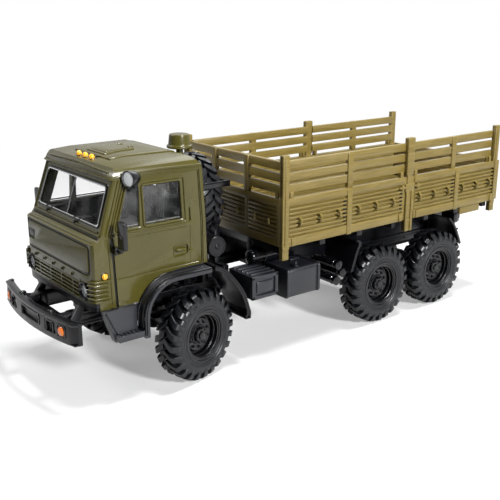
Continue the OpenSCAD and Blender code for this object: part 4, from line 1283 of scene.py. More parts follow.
lamp_set("headlamp", [(FACE_X - 0.55, s * LAMP_Y, LAMP_Z) for s in (1, -1)], (1, 0, 0),
         [(-1.3, 0), (-1.3, 2.7), (0.35, 2.7), (0.75, 2.62), (0.8, 2.4), (0.3, LAMP_R + 0.1), (-0.9, 1.8),
          (-1.2, 0)],
         [(-1.15, 0), (-1.05, 0.5), (-0.5, 1.25), (-0.55, 1.4), (-1.12, 0.8), (-1.2, 0)],
         [(-0.1, 0), (-0.1, LAMP_R), (0.1, LAMP_R), (0.34, 1.4), (0.48, 0.7), (0.52, 0)], "headlamps")
lamp_set("searchlight", [(22.2, 24.0, 64.9)], (1, 0.3, 0),
         [(-4.6, 0), (-4.6, 0.7), (-4.0, 1.35), (-2.8, 1.95), (-1.2, 2.3), (-0.2, 2.4), (0.1, 2.36),
          (0.16, 2.2), (0.0, 2.05), (-1.0, 1.95), (-2.4, 1.2), (-2.7, 0)],
         [(-2.2, 0), (-2.0, 0.8), (-0.6, 1.95), (-0.7, 2.0), (-2.2, 0.95), (-2.4, 0)],
         [(-0.3, 0), (-0.3, 2.0), (-0.05, 2.05), (0.2, 1.4), (0.35, 0.7), (0.4, 0)], "searchlight")


def searchlight_bracket():
    """The arm that holds the searchlight off the pillar, with its pivot and its foot."""
    p = Piece("searchlight_bracket")
    p.tube([(19.8, CAB_HALF - 1.2, 63.2), (19.8, 22.6, 62.9), (19.8, 23.9, 63.0)], 0.45, 10)
    p.turned([(-0.2, 0), (-0.2, 0.75), (0.9, 0.75), (1.05, 0.55), (1.05, 0)], (19.8, 24.0, 62.4), (0, 0, 1),
             16)
    p.box((18.9, CAB_HALF - 1.35, 62.2), (20.8, CAB_HALF - 0.5, 64.0), 0.2)
    return p


searchlight_bracket().done("cab", black_plastic, "black_plastic")

# %% [markdown]
# Three amber marker lamps stand on the roof, leaning with it, and one sits on each flank of the cab. They
# are little domes of tinted plastic on black feet.

# %% Amber marker lamps
ROOF_LAMPS_X, ROOF_LAMPS_Y, ROOF_LEAN = 22.4, (-4, 0, 4), (0.12, 0, 1)
FLANK_LAMP_X, FLANK_LAMP_Z = 29.8, CAB_BOTTOM + 9.9


def on_markers(p, roof_line, roof_at, flank_line):
    """Turns one line at each roof lamp and another at each flank lamp."""
    for y in ROOF_LAMPS_Y:
        p.turned(roof_line, (ROOF_LAMPS_X, y, roof_at), ROOF_LEAN, 24)
    for s in (1, -1):
        p.turned(flank_line, (FLANK_LAMP_X, s * CAB_HALF, FLANK_LAMP_Z), (0, s, 0), 24)
    return p


def amber_domes():
    button = [(0, 0), (0, 0.85), (0.35, 0.9), (0.75, 0.62), (0.9, 0)]
    dome = [(0.1, 0), (0.1, 0.84), (0.5, 0.88), (0.9, 0.8), (1.25, 0.55), (1.42, 0.26), (1.46, 0)]
    return on_markers(Piece("amber_domes"), dome, CAB_TOP - 1.55, button)


def dome_feet():
    p = Piece("dome_feet")
    on_markers(p, [(-0.5, 0), (-0.5, 1.12), (0.12, 1.12), (0.28, 0.95), (0.28, 0)], CAB_TOP - 1.6,
               [(-0.2, 0), (-0.2, 1.15), (0.1, 1.15), (0.22, 0.95), (0.22, 0)])
    for y in ROOF_LAMPS_Y:
        p.box((20.4, y - 0.3, CAB_TOP - 1.6), (21.8, y + 0.3, CAB_TOP - 0.75), 0.12)
    return p


amber_domes().done("cab", amber, "amber_lens", "marker_lamps")
dome_feet().done("cab", black_plastic, "black_plastic")

# %% [markdown]
# Each mirror is a rounded black shell on a bent arm, with a bright plate let into its rear face.

# %% Mirrors
def mirror_shells():
    """The head, its bent arm, the arm's foot on the door and the clamp on the head."""
    p = Piece("mirror_shells")
    z0, z1 = low("mirrors").z + 2.0, high("mirrors").z
    p.wall(soft_rect(25.3, z0, high("mirrors").y - 0.1, z1, 0.9), 25.7, 26.9, 0.35, 3)
    arm = (CAB_HALF - 0.2, z0 - 1.0), (25.4, z0 - 1.1), (26.6, z0 - 0.8), (27.0, z0 + 1.2)
    p.tube([(26.4, y, z) for y, z in arm], 0.42, 10)
    p.box((25.4, CAB_HALF - 0.2, z0 - 2.0), (27.2, 24.6, z0 - 0.1), 0.35, 3)
    p.box((25.8, 26.2, z0 + 3.2), (27.1, 27.8, z0 + 4.6), 0.3)
    return p.mirrored()


def mirror_plates():
    p = Piece("mirror_plates")
    z0, z1 = low("mirrors").z + 2.5, high("mirrors").z - 0.5
    p.wall(soft_rect(25.7, z0, high("mirrors").y - 0.5, z1, 0.7), 25.62, 25.8, 0.05)
    return p.mirrored()


mirror_shells().done("cab", gloss_black, "black_plastic", "mirrors")
mirror_plates().done("cab", reflector, "steel")

# %% [markdown]
# The clear inserts sit in black rubber. The screen also has a thin bright edge and a strip down its
# middle, and the side windows have a bright sill. All of them are bars along the windows' outlines.

# %% Window seals and bright edges
def seal_line(radius, out):
    """The rubber round the screen, a distance out from the skin."""
    z0, z1 = WAIST_Z + 2.6, HEAD_Z - 0.3
    outline = round_corners([(-19.7, z0), (19.7, z0), (18.9, z1), (-18.9, z1)], 1.2)
    return Piece("screen_seal").tube([(front_x(0, z) + out, y, z) for y, z in outline], radius, 8,
                                     closed=True)


def side_seals():
    """The rubber of both sides' windows and of the two rear windows."""
    p = Piece("side_seals")
    for outline in (QUARTER, MAIN):
        p.tube(on_side(round_corners(grown(outline, -0.3), 0.8), -0.3), 0.36, 8, closed=True)
    p.mirrored()
    rear_window = soft_rect(4.0, 51.3, 17.2, 60.1, 1.2)
    for s in (1, -1):
        p.tube([(CAB_REAR + 0.5, s * y, z) for y, z in rear_window], 0.45, 8, closed=True)
    return p


def bright_edges():
    """Foil round the screen and down its middle, and along the sills."""
    p = Piece("bright_edges")
    z0, z1 = WAIST_Z + 3.1, HEAD_Z - 0.7
    outline = round_corners([(-19.3, z0), (19.3, z0), (18.5, z1), (-18.5, z1)], 1.1)
    p.tube([(front_x(0, z) + 0.12, y, z) for y, z in outline], 0.22, 8, closed=True)
    for s in (1, -1):
        for x0, x1 in ((18.3, 24.6), (4.3, 15.8)):
            sill = on_side([(x1, WINDOW_Z0 + 0.75), (x0, WINDOW_Z0 + 0.75)], -0.25)
            p.tube([(x, s * y, z) for x, y, z in sill], 0.3, 8)
    p.tube([(front_x(0, z0) + 0.05, 0, z0), (front_x(0, z1) + 0.05, 0, z1)], 0.24, 8)
    return p


side_seals().done("cab", black_plastic, "black_plastic")
seal_line(0.3, 0.0).done("cab", black_plastic, "black_plastic")
bright_edges().done("cab", reflector, "steel")

# %% [markdown]
# Through the windows shows a dark inside. The seats are one hard moulding on such a model, so they are
# bevelled blocks with ribs for the stitched channels, not cushions.

# %% Seats
def seats():
    """A seat for the driver and a bench for two, with ribs across their backs and along their bases."""
    p = Piece("seats_moulded")
    base = low("seats").z
    rear, front = low("seats").x - ARCH_X, high("seats").x - ARCH_X
    outer = high("seats").y
    for y0, y1 in ((4.6, outer), (-outer, 2.0)):
        p.box((rear + 2.4, y0, base), (front, y1, base + 5.3), 1.0, 3)
        back = [(rear, base + 0.4), (rear + 2.9, base + 0.4), (rear + 2.9, base + 6),
                (rear + 1.8, base + 16.9), (rear, base + 16.9)]
        p.plate(back, y0, y1, 0.9, 3)
        for z in (base + 8.5, base + 11.2, base + 13.9):
            x = rear + 2.55 - (z - base - 6) * 0.1
            p.tube([(x, y0 + 0.9, z), (x, y1 - 0.9, z)], 0.3, 8)
        for y in (y0 + (y1 - y0) / 3, y0 + (y1 - y0) * 2 / 3):
            p.tube([(front - 8, y, base + 5.2), (front - 0.9, y, base + 5.2)], 0.3, 8)
    return p


seats().done("cab", black_plastic, "black_plastic", "seats")

# %% [markdown]
# Linings cover the doors below the windows and the rear wall. The dashboard keeps its CAD block, and
# gets a hood with two dials. The intake behind the cab is in the cab's colour.

# %% Linings and dashboard
def cab_linings():
    """Door linings with arm rests, the rear lining, and the hood with its dials."""
    p = Piece("cab_linings")
    inside = CAB_HALF - 1.25
    outline = [(CAB_REAR + 1.4, 39.0), (24.5, 39.0), (24.5, WINDOW_Z0 - 0.6),
               (CAB_REAR + 1.4, WINDOW_Z0 - 0.6)]
    p.plate(outline, inside - 0.35, inside, 0.1)
    p.box((6.5, inside - 0.9, 43.0), (15.5, inside - 0.3, 44.6), 0.3)
    p.mirrored()
    p.box((CAB_REAR + 1.25, -20.6, 38.9), (CAB_REAR + 1.6, 20.6, 50.6), 0.1)
    for y in (8.6, 13.4):
        p.turned([(-1.2, 0), (-1.2, 1.5), (0.2, 1.5), (0.5, 1.2), (0.35, 0)], (24.4, y, 47.6), (-1, 0, 0.5),
                 24)
    p.box((23.4, 6.0, 47.2), (28.2, 16.0, 49.0), 0.5, 3)
    return p


cab_linings().done("cab", black_plastic, "black_plastic")
soft_copy("dashboard", "cab", black_plastic, "black_plastic", 0.3)
soft_copy("cab_floor", "cab", black_plastic, "black_plastic", 0.15)
soft_copy("air_intake", "chassis", cab_paint, "cab_paint", 0.35, 3)

# %% [markdown]
# ## Bumper
# The bumper is a bar bent to a wide arc. The CAD bar gets a recess for the number plate and soft edges.

# %% Front bumper
BUMPER_ARC_R = 100
BUMPER_Z0, BUMPER_Z1 = RAIL_Z - 0.6, RAIL_Z + 6.0


def bumper_x(y):
    """Station of the bumper's front face, which is an arc."""
    crown = high("front_bumper").x - ARCH_X
    return crown - (BUMPER_ARC_R - math.sqrt(BUMPER_ARC_R ** 2 - y ** 2))


def bumper_shell():
    shell = merged("front_bumper_moulded", "front_bumper")
    plate = soft_rect(-4.5, BUMPER_Z0 + 2.3, 6.7, BUMPER_Z1 - 1.7, 0.4)
    base = bumper_x(6.7) - 0.6
    return rounded(carved(shell, Piece("recess").wall(plate, base, base + 4, 0).made()), 0.3, 3)


dress(bumper_shell(), "chassis", black_plastic, "black_plastic", "front_bumper")

# %% [markdown]
# Strips that follow the bumper's arc make its two lips, and thin frames surround the number plate's
# recess, the steps and the lamps. They are rings and bars whose points all ask `bumper_x` where to lie.

# %% Lips, frames and lenses of the bumper
def arc_strip(p, x0, x1, z0, z1, y0, y1, bevel=0.15, count=24):
    """A bar that follows the bumper's arc."""
    rings = []
    for i in range(count + 1):
        y = y0 + (y1 - y0) * i / count
        rings.append([station(bumper_x(y) + dx, y, z) for dx, z in ((x0, z0), (x1, z0), (x1, z1), (x0, z1))])
    return p.solid(rings, bevel)


def bumper_trim():
    """Two lips, five frames, and the two towing eyes with their blocks."""
    p = Piece("bumper_trim")
    half, z0, z1 = high("front_bumper").y, BUMPER_Z0, BUMPER_Z1
    arc_strip(p, -2.6, 0.0, z1 - 0.9, z1 - 0.25, -half + 0.05, half - 0.05, 0.2)
    arc_strip(p, -1.2, 0.0, z0 + 0.02, z0 + 0.55, -half + 0.05, half - 0.05, 0.18)
    for y0, y1, za, zb in ((-4.9, 7.1, z0 + 2.0, z1 - 1.4), (11.2, 14.7, z0 + 1.5, z1 - 1.6),
                           (-14.7, -11.2, z0 + 1.5, z1 - 1.6), (16.7, 20.3, z0 + 1.5, z1 - 1.5),
                           (-20.3, -16.7, z0 + 1.5, z1 - 1.5)):
        frame_line = finely(soft_rect(y0, za, y1, zb, 0.6), 1.5)
        p.tube([(bumper_x(y) + 0.02, y, z) for y, z in frame_line], 0.24, 8, closed=True)
    for s in (1, -1):
        back = bumper_x(10)
        p.box((back - 3.2, s * 10 - 0.9, z1 - 0.6), (back - 1.4, s * 10 + 0.9, z1 + 0.35), 0.3)
        eye = (38.6, 25.3), (40.4, 25.9), (41.6, 25.2), (41.4, 24.2)
        p.tube([(x, s * 10.6, z) for x, z in eye], 0.55, 10)
    return p


def bumper_lenses():
    p = Piece("bumper_lenses")
    lens_y = 18.5
    for s in (1, -1):
        p.turned([(-1.2, 0), (-1.2, 1.3), (0.15, 1.38), (0.45, 1.1), (0.6, 0.5), (0.62, 0)],
                 (bumper_x(lens_y), s * lens_y, middle("bumper_lamps").z), (1, s * 0.19, 0), 28)
    return p


bumper_trim().done("chassis", gloss_black, "black_plastic")
bumper_lenses().done("chassis", orange, "amber_lens", "bumper_lamps")

# %% [markdown]
# ## Load bed
# Each side is a board with a wide plank along its top and its bottom and thin ribs between them. The
# four bays of a side are the spaces between its posts and stiles. The ribs of a bay repeat at one
# step, so one is made and a row tree lays it out.

# %% Ribs of the sides
BAYS = [(-58.3, -33.2), (-86.2, -60.7), (-114.6, -92.5), (-138.9, -117.0)]
RIBS, RIB_STEP, RIB_HIGH = 7, 1.37, 0.84
RIB_Z = BED_Z + 3.45
FIELD_Z = RIB_Z - 0.45, RIB_Z + RIBS * RIB_STEP
BOARD_FACE = BED_HALF - 0.4
BOARD_BACK = BED_HALF - 1.8


def ribs_between(x0, x1, y0, y1, material):
    """One bay's ribs, lying between two planes across the truck."""
    rib = Piece("rib").box((x0 - 0.2, y0, RIB_Z), (x1 + 0.2, y1, RIB_Z + RIB_HIGH), 0.3, 2).made()
    return row(rib, RIBS, (0, 0, RIB_STEP), material)


def both_sides(name, objects):
    """Joins the objects and their mirror images."""
    bm = bmesh.new()
    for obj in objects:
        bm.from_mesh(obj.data)
    add_other_side(bm)
    return shaded(bpy.data.objects.new(name, mesh_from(bm, name)))


side_ribs = [ribs_between(x0, x1, BOARD_FACE - 0.8, BOARD_FACE + 0.3, bed_paint) for x0, x1 in BAYS]
side_ribs += [ribs_between(x0, x1, BOARD_BACK - 0.1, BOARD_BACK + 0.5, bed_paint) for x0, x1 in BAYS]
dress(both_sides("side_ribs", side_ribs), "chassis", bed_paint, "bed_paint")

# %% [markdown]
# The wide planks, the stiles between the bays, the hinge straps and the latches are bevelled bars on
# both faces of the boards.

# %% Planks, stiles and latches
STILES = (-59.5, -115.8)


def side_planks():
    """What stands on one side's board, inside and outside, and its mirror image."""
    p = Piece("side_planks")
    for x0, x1 in ((-86.6, -30.3), (-140.1, -92.1)):
        p.box((x0, BOARD_FACE - 0.3, BOARD_TOP - 2.35), (x1, BOARD_FACE + 0.36, BOARD_TOP + 0.02), 0.28)
        p.box((x0, BOARD_FACE - 0.3, BED_Z - 0.05), (x1, BOARD_FACE + 0.36, BED_Z + 3.0), 0.28)
        p.box((x0, BOARD_BACK - 0.25, BOARD_TOP - 2.35), (x1, BOARD_BACK + 0.3, BOARD_TOP + 0.02), 0.2)
    for x in STILES:
        p.box((x - 1.15, BOARD_FACE - 0.3, BED_Z - 0.3), (x + 1.15, BOARD_FACE + 0.6, BOARD_TOP - 0.3), 0.28)
        p.box((x - 1.0, BOARD_BACK - 0.4, BED_Z + 1.8), (x + 1.0, BOARD_BACK + 0.3, BOARD_TOP - 0.3), 0.2)
    # hinge straps and latches at the ends of each half
    for x in (-34.6, -84.9, -93.8, -137.5):
        p.box((x - 0.8, BOARD_FACE, BED_Z + 0.1), (x + 0.8, BOARD_FACE + 0.75, BED_Z + 2.9), 0.25)
    for x in (-85.4, -93.3):
        p.box((x - 1.6, BOARD_FACE, BOARD_TOP - 4.0), (x + 1.6, BOARD_FACE + 0.8, BOARD_TOP - 3.2), 0.25)
        p.box((x - 0.5, BOARD_FACE, BOARD_TOP - 4.6), (x + 0.5, BOARD_FACE + 0.95, BOARD_TOP - 2.7), 0.25)
    return p.mirrored()


side_planks().done("chassis", bed_paint, "bed_paint")

# %% [markdown]
# Three tie-down hooks stand on each bay, in a row of their own. Where a stile closes the gaps between
# the ribs, each gap ends in a small hollow whose shade is painted as a black dot. Both repeat, so the row tree
# lays them out.

# %% Hooks, and painted shade in the hollows
HOOK_Z = BED_Z + 7.7
# station of each bay's first hook, and the step to the next
HOOK_ROWS = ((-37.3, 8.6), (-63.7, 8.5), (-94.6, 8.0), (-119.0, 8.2))


def hook():
    """One tie-down cleat, a bowed strap whose two ends meet the board."""
    z = HOOK_Z
    path = [(0, BOARD_FACE - 0.4, z - 1.35), (0, BOARD_FACE + 0.6, z - 1.15), (0, BOARD_FACE + 1.2, z - 0.5),
            (0, BOARD_FACE + 1.2, z + 0.6), (0, BOARD_FACE + 0.6, z + 1.2), (0, BOARD_FACE - 0.4, z + 1.35)]
    return Piece("hook").tube(path, 0.5, 8).made()


def notches(x):
    """Black dots of painted shade at the ends of the gaps between ribs, in front of a stile or post."""
    z = RIB_Z + RIB_HIGH + (RIB_STEP - RIB_HIGH) / 2
    line = [(-0.6, 0), (-0.6, 0.36), (0.12, 0.36), (0.12, 0)]
    dot = Piece("notch").turned(line, (x, BOARD_FACE, z), (0, 1, 0), 10).made()
    return row(dot, RIBS - 1, (0, 0, RIB_STEP), black_plastic)


# black dots that paint the shade at the ends of the gaps between the ribs
board_notches = both_sides("board_notches", [notches(x0 + 0.6) for x0, x1 in BAYS])
dress(board_notches, "chassis", black_plastic, "black_plastic")
hooks = [row(hook(), 3, (-step, 0, 0), bed_paint, (start, 0, 0)) for start, step in HOOK_ROWS]
dress(both_sides("side_hooks", hooks), "chassis", bed_paint, "bed_paint")

# %% [markdown]
# The posts carry the racks. Flanges and ridges on them catch the light along their whole height.

# %% Posts
def post_trim():
    """Flanges, the double middle post with its clamp, ridges and the racks' sockets."""
    p = Piece("post_trim")
    for x0, x1 in ((-32.9, -30.2), (-91.1, -87.5), (-140.2, -137.7)):
        p.box((x0, BOARD_BACK - 0.05, BOARD_TOP + 0.5), (x1, BED_HALF + 0.1, POST_TOP), 0.35, 3)
        p.box((x0, BED_HALF - 0.3, BED_Z - 0.8), (x1, BED_HALF + 0.18, BED_Z + 0.2), 0.2)
    for x in (-90.6, -88.0):
        p.box((x - 0.62, BED_HALF - 0.4, POST_FOOT), (x + 0.62, BED_HALF + 0.45, BOARD_TOP - 4.6), 0.35)
    p.box((-91.6, BED_HALF - 0.3, BOARD_TOP - 5.2), (-87.0, BED_HALF + 0.3, BOARD_TOP - 2.4), 0.25)
    for x in (-31.6, -138.9):
        p.box((x - 0.6, BED_HALF - 0.2, BED_Z + 0.6), (x + 0.6, BED_HALF + 0.3, POST_TOP - 1.2), 0.25)
    for x in (-34.4, -85.6, -92.9, -136.2):
        p.box((x - 0.75, BOARD_BACK + 0.0, BOARD_TOP - 0.2), (x + 0.75, BOARD_FACE - 0.1, BOARD_TOP + 2.0),
              0.2)
    return p.mirrored()


post_trim().done("chassis", bed_paint, "bed_paint")

# %% [markdown]
# The boards themselves are the CAD boards, with the field of each bay sunk a little on both faces so
# that the planks stand proud and the ribs lie inside. Racks and bearers are CAD shapes with moulded
# edges. The bearers are black instead of the bed's olive, which paints the shade under the bed.

# %% Boards, racks and bearers
boards = merged("side_boards_moulded", "side_boards")
for x0, x1 in BAYS:
    for y0, y1 in ((BOARD_FACE - 0.6, BED_HALF + 1), (BOARD_BACK - 1, BOARD_BACK + 0.3)):
        field = Piece("field").box((x0, y0, FIELD_Z[0]), (x1, y1, FIELD_Z[1]), 0).mirrored().made()
        carved(boards, field)
dress(rounded(boards, 0.25), "chassis", bed_paint, "bed_paint", "side_boards")
soft_copy("racks", "chassis", bed_paint, "bed_paint", 0.3)
# painted shade: the olive bearers are made black, because they lie in the bed's shadow
soft_copy("bed_bearers", "chassis", black_plastic, "bed_paint", 0.15)
soft_copy("toolbox", "chassis", bed_paint_across, "bed_paint", 0.3)

# %% [markdown]
# The front board and the tailgate are built alike. Their outer faces have three sunk fields with ribs
# and hooks, and their inner faces ribs alone, all flush with the CAD plate, so that the tailgate can
# swing clear. `out` is the way the outer face looks, forward or to the rear.

# %% Front board and tailgate
END_FIELDS = ((-24.6, -9.9), (-8.1, 8.1), (9.9, 24.6))
BOARD_THICK, GATE_THICK = 1.4, 1.5


def end_board(node, body, face, thick, out):
    """A board that stands across the bed, its outer face pressed in between planks, ribs and stiles."""
    board = merged(node + "_moulded", node)
    ribs, hooks = [], Piece("hooks")
    for y0, y1 in END_FIELDS:
        x0, x1 = sorted((face - out * 0.55, face + out))
        carved(board, Piece("field").box((x0, y0, FIELD_Z[0]), (x1, y1, FIELD_Z[1]), 0).made())
        x0, x1 = sorted((face - out * 0.8, face))
        rib = Piece("rib").box((x0, y0 - 0.2, RIB_Z), (x1, y1 + 0.2, RIB_Z + RIB_HIGH), 0.3).made()
        ribs.append(row(rib, RIBS, (0, 0, RIB_STEP), bed_paint_across))
        for y in (y0 + (y1 - y0) * 0.25, y0 + (y1 - y0) * 0.75):
            line = ((-0.8, -1.3), (0.1, -0.7), (0.1, 0.7), (-0.8, 1.3))
            hooks.tube([(face + out * reach, y, HOOK_Z + up) for reach, up in line], 0.42, 8)
    inside = face - out * thick
    rib = Piece("rib").box((inside - 0.25, -24.6, RIB_Z), (inside + 0.25, 24.6, RIB_Z + 1.0), 0.2).made()
    ribs.append(row(rib, 8, (0, 0, RIB_STEP), bed_paint_across))
    dress(rounded(board, 0.25), body, bed_paint_across, "bed_paint", node)
    dress(joined(node + "_ribs", ribs + [hooks.made()]), body, bed_paint_across, "bed_paint")


end_board("front_board", "chassis", high("front_board").x - ARCH_X, BOARD_THICK, 1)
end_board("tailgate", "tailgate", low("tailgate").x - ARCH_X, GATE_THICK, -1)

# %% [markdown]
# The floor is thirteen planks side by side on a base that closes the gaps between them.

# %% Floor planks
def floor_planks():
    """A base with the planks laid on it, each with softened edges."""
    base = Piece("floor_base").box((BED_REAR, -26.0, BED_Z), (BED_FRONT, 26.0, BED_Z + 1.1), 0.1).made()
    lo, hi = (BED_REAR + 0.05, -25.95, BED_Z + 0.9), (BED_FRONT - 0.05, -22.15, BED_Z + 1.6)
    planks = row(Piece("plank").box(lo, hi, 0.2).made(), 13, (0, 4.008, 0), bed_paint)
    return joined("bed_planks", [base, planks])


dress(floor_planks(), "chassis", bed_paint, "bed_paint", "bed_floor")

# %% [markdown]
# ## Chassis
# The equipment along the frame is a set of black mouldings. The tank is a rounded box between two thick
# rolled ends, with a filler on its top. Its size comes from the CAD node that it stands for.

# %% Fuel tank
RAIL_Y = 12.0


def fuel_tank():
    """The body, its rolled ends, brackets to the rail, the filler and a hatch."""
    p = Piece("fuel_tank_moulded")
    x0, x1 = low("fuel_tank").x - ARCH_X, high("fuel_tank").x - ARCH_X
    y0, y1 = RAIL_Y + 0.6, high("fuel_tank").y
    z0, z1 = low("fuel_tank").z, RAIL_TOP + 2.2
    body = soft_rect(y0, z0, y1 - 0.35, z1 - 0.25, 1.3)
    rim = soft_rect(y0 - 0.2, z0 - 0.1, y1 + 0.1, z1 + 0.15, 1.5)
    p.wall(body, x0 + 0.4, x1 - 0.4, 0.1)
    for x in (x0, x1 - 1.1):
        p.wall(rim, x, x + 1.1, 0.4, 3)
    p.tube([(x0 + 1, y1 - 0.9, z1 - 0.5), (x1 - 1, y1 - 0.9, z1 - 0.5)], 0.5, 10)
    for x in (x0 + 3.6, x1 - 4.2):
        p.box((x, RAIL_Y, RAIL_Z + 0.6), (x + 1, y0 + 0.3, RAIL_TOP - 0.6), 0.2)
    p.turned([(-0.3, 0), (-0.3, 1.15), (0.5, 1.15), (0.7, 0.95), (0.7, 0.5), (1.7, 0.42), (1.85, 0.2),
              (1.85, 0)], (x1 - 5.4, y1 - 2.4, z1 - 0.2), (0, 0, 1), 24)
    p.box((x0 + 2.2, y0 + 1.5, z1 - 0.4), (x0 + 6.2, y0 + 4.5, z1 + 0.25), 0.3)
    return p


fuel_tank().done("chassis", satin_black, "black_plastic", "fuel_tank")

# %% [markdown]
# The battery box has a framed door on its outer side and five ribs on its lid. The ribs repeat, so one
# is made and the row tree lays it out.

# %% Battery box
def battery_box():
    """The box, the four bars of the door's frame, the door's panel and the ribs."""
    p = Piece("battery_box_moulded")
    x0, x1 = low("battery_box").x - ARCH_X, high("battery_box").x - ARCH_X
    z0, z1, out = low("battery_box").z, RAIL_TOP + 2.6, high("battery_box").y
    p.box((x0 + 0.1, RAIL_Y, z0 + 0.1), (x1 - 0.1, out - 0.55, z1), 0.3)
    for a, b in (((x0, z0), (x1, z0 + 1.3)), ((x0, z1 - 1.3), (x1, z1 + 0.05)), ((x0, z0), (x0 + 1.3, z1)),
                 ((x1 - 1.3, z0), (x1, z1))):
        p.box((a[0], out - 1.0, a[1]), (b[0], out + 0.05, b[1]), 0.32, 3)
    p.box((x0 + 2.0, out - 1.0, z0 + 2.0), (x1 - 2.0, out - 0.05, z1 - 2.0), 0.62, 2)
    rib = Piece("rib").box((x0 + 0.5, 13.2, z1 - 0.3), (x1 - 0.5, 14.3, z1 + 0.6), 0.38, 3).made()
    return joined("battery_box_moulded", [p.made(), row(rib, 5, (0, 2.3, 0), gloss_black)])


dress(battery_box(), "chassis", satin_black, "black_plastic", "battery_box")

# %% [markdown]
# Three air reservoirs stick out on each side ahead of the middle axle. They are cylinders with a rolled
# ring near each end and a drain plug, so the lathe method makes them from one line.

# %% Air reservoirs
RESERVOIRS = ((-58.4, RAIL_TOP - 0.8), (-60.6, RAIL_TOP - 3.9), (-57.6, RAIL_TOP - 6.3))


def air_reservoirs():
    """Three turned reservoirs on each side."""
    p = Piece("air_reservoirs")
    shape = [(0, 0), (0, 1.2), (0.3, 1.45), (9.6, 1.45), (9.7, 1.6), (10.1, 1.6), (10.2, 1.45),
             (11.3, 1.45), (11.5, 1.62), (11.9, 1.6), (12.0, 1.35), (12.0, 1.1), (12.15, 0.95), (12.2, 0.4),
             (12.4, 0.3), (12.4, 0)]
    for x, z in RESERVOIRS:
        for s in (1, -1):
            p.turned(shape, (x, s * (RAIL_Y + 1), z), (0, s, 0), 32)
    return p


def tank_straps():
    """The plate that carries the reservoirs and a strap over each."""
    p = Piece("tank_straps")
    p.box((-61.8, RAIL_Y, RAIL_Z - 2.4), (-57, RAIL_Y + 1.05, RAIL_TOP), 0.3)
    for x, z in RESERVOIRS:
        p.box((x - 0.35, RAIL_Y + 4.6, z + 0.6), (x + 0.35, RAIL_Y + 5.6, z + 1.75), 0.15)
    return p.mirrored()


air_reservoirs().done("chassis", gloss_black, "black_plastic", "air_tanks")
tank_straps().done("chassis", black_plastic, "black_plastic")

# %% [markdown]
# The air cleaner is a drum with a rolled band and a domed lid. The silencer behind it lies along the
# rail and is held by two bands. Both are turned from a line and carried by small brackets.

# %% Air cleaner and silencer
def cleaner_shape():
    """The drum, its stand and its bracket."""
    p = Piece("air_cleaner_moulded")
    x, z = middle("air_cleaner").x - ARCH_X, RAIL_TOP + 13.5
    p.turned([(0, 0), (0, 2.9), (0.3, 3.2), (2.2, 3.2), (2.3, 3.05), (2.6, 3.05), (2.7, 3.2), (6.6, 3.2),
              (6.75, 3.3), (7.5, 3.3), (7.75, 3.1), (7.75, 2.75), (7.6, 2.6), (7.75, 0.9), (7.9, 0.75),
              (8.0, 0.4), (8.0, 0)], (x, RAIL_Y, z), (0, 1, 0), 48)
    p.box((x - 1.2, 9.3, RAIL_TOP), (x + 1.2, RAIL_Y + 1, z - 2.4), 0.3)
    p.box((x - 1.2, 9.3, z - 3.6), (x + 1.2, 13, z - 2.4), 0.2)
    return p


def silencer_shape():
    """The can, its two bands and their brackets."""
    p = Piece("silencer_moulded")
    x0, x1, y, z = -40.6, -26.6, RAIL_Y + 2.8, RAIL_TOP + 5.6
    p.turned([(0, 0), (0, 1.7), (0.3, 2.2), (0.6, 2.4), (1.0, 2.4), (1.1, 2.25), (1.5, 2.25), (1.6, 2.4),
              (12.2, 2.4), (12.3, 2.25), (12.8, 2.25), (12.9, 2.4), (13.4, 2.4), (13.7, 2.2), (14, 1.7),
              (14, 0)], (x0, y, z), (1, 0, 0), 40)
    for x in (x0 + 1.6, x0 + 7.4):
        p.box((x, RAIL_Y, z - 0.8), (x + 1.2, y, z + 0.8), 0.2)
        p.turned([(0, 0), (0, 2.5), (0.15, 2.56), (0.95, 2.56), (1.1, 2.5), (1.1, 0)], (x, y, z), (1, 0, 0),
                 40)
    return p


cleaner_shape().done("chassis", black_plastic, "black_plastic", "air_cleaner")
silencer_shape().done("chassis", gloss_black, "black_plastic", "silencer")

# %% [markdown]
# Mudguards are bent sheet on the real truck, so here they are smooth curves with a rolled outer edge.
# They could be cut from a tube, but their bend isn't round. A spline through a few points gives each
# its line.

# %% Mudguards
def spline(points, steps=5):
    """A smooth line through the points."""
    ends = [points[0]] + list(points) + [points[-1]]
    line = []
    for a, b, c, d in zip(ends, ends[1:], ends[2:], ends[3:]):
        a, b, c, d = (Vector(v) for v in (a, b, c, d))
        for k in range(steps):
            t = k / steps
            line.append(tuple(0.5 * (2 * b + (c - a) * t + (2 * a - 5 * b + 4 * c - d) * t ** 2
                                     + (3 * b - a - 3 * c + d) * t ** 3)))
    return line + [tuple(points[-1])]


def guard(p, outer, inner, y0, y1, lip):
    """A curved plate between two lines in x and z, with a rolled edge along its outer line."""
    top, under = spline(outer), spline(inner)
    p.plate(top + under[::-1], y0, y1, 0.18)
    p.tube([(x, y1 - 0.25, z) for x, z in top], lip, 8)


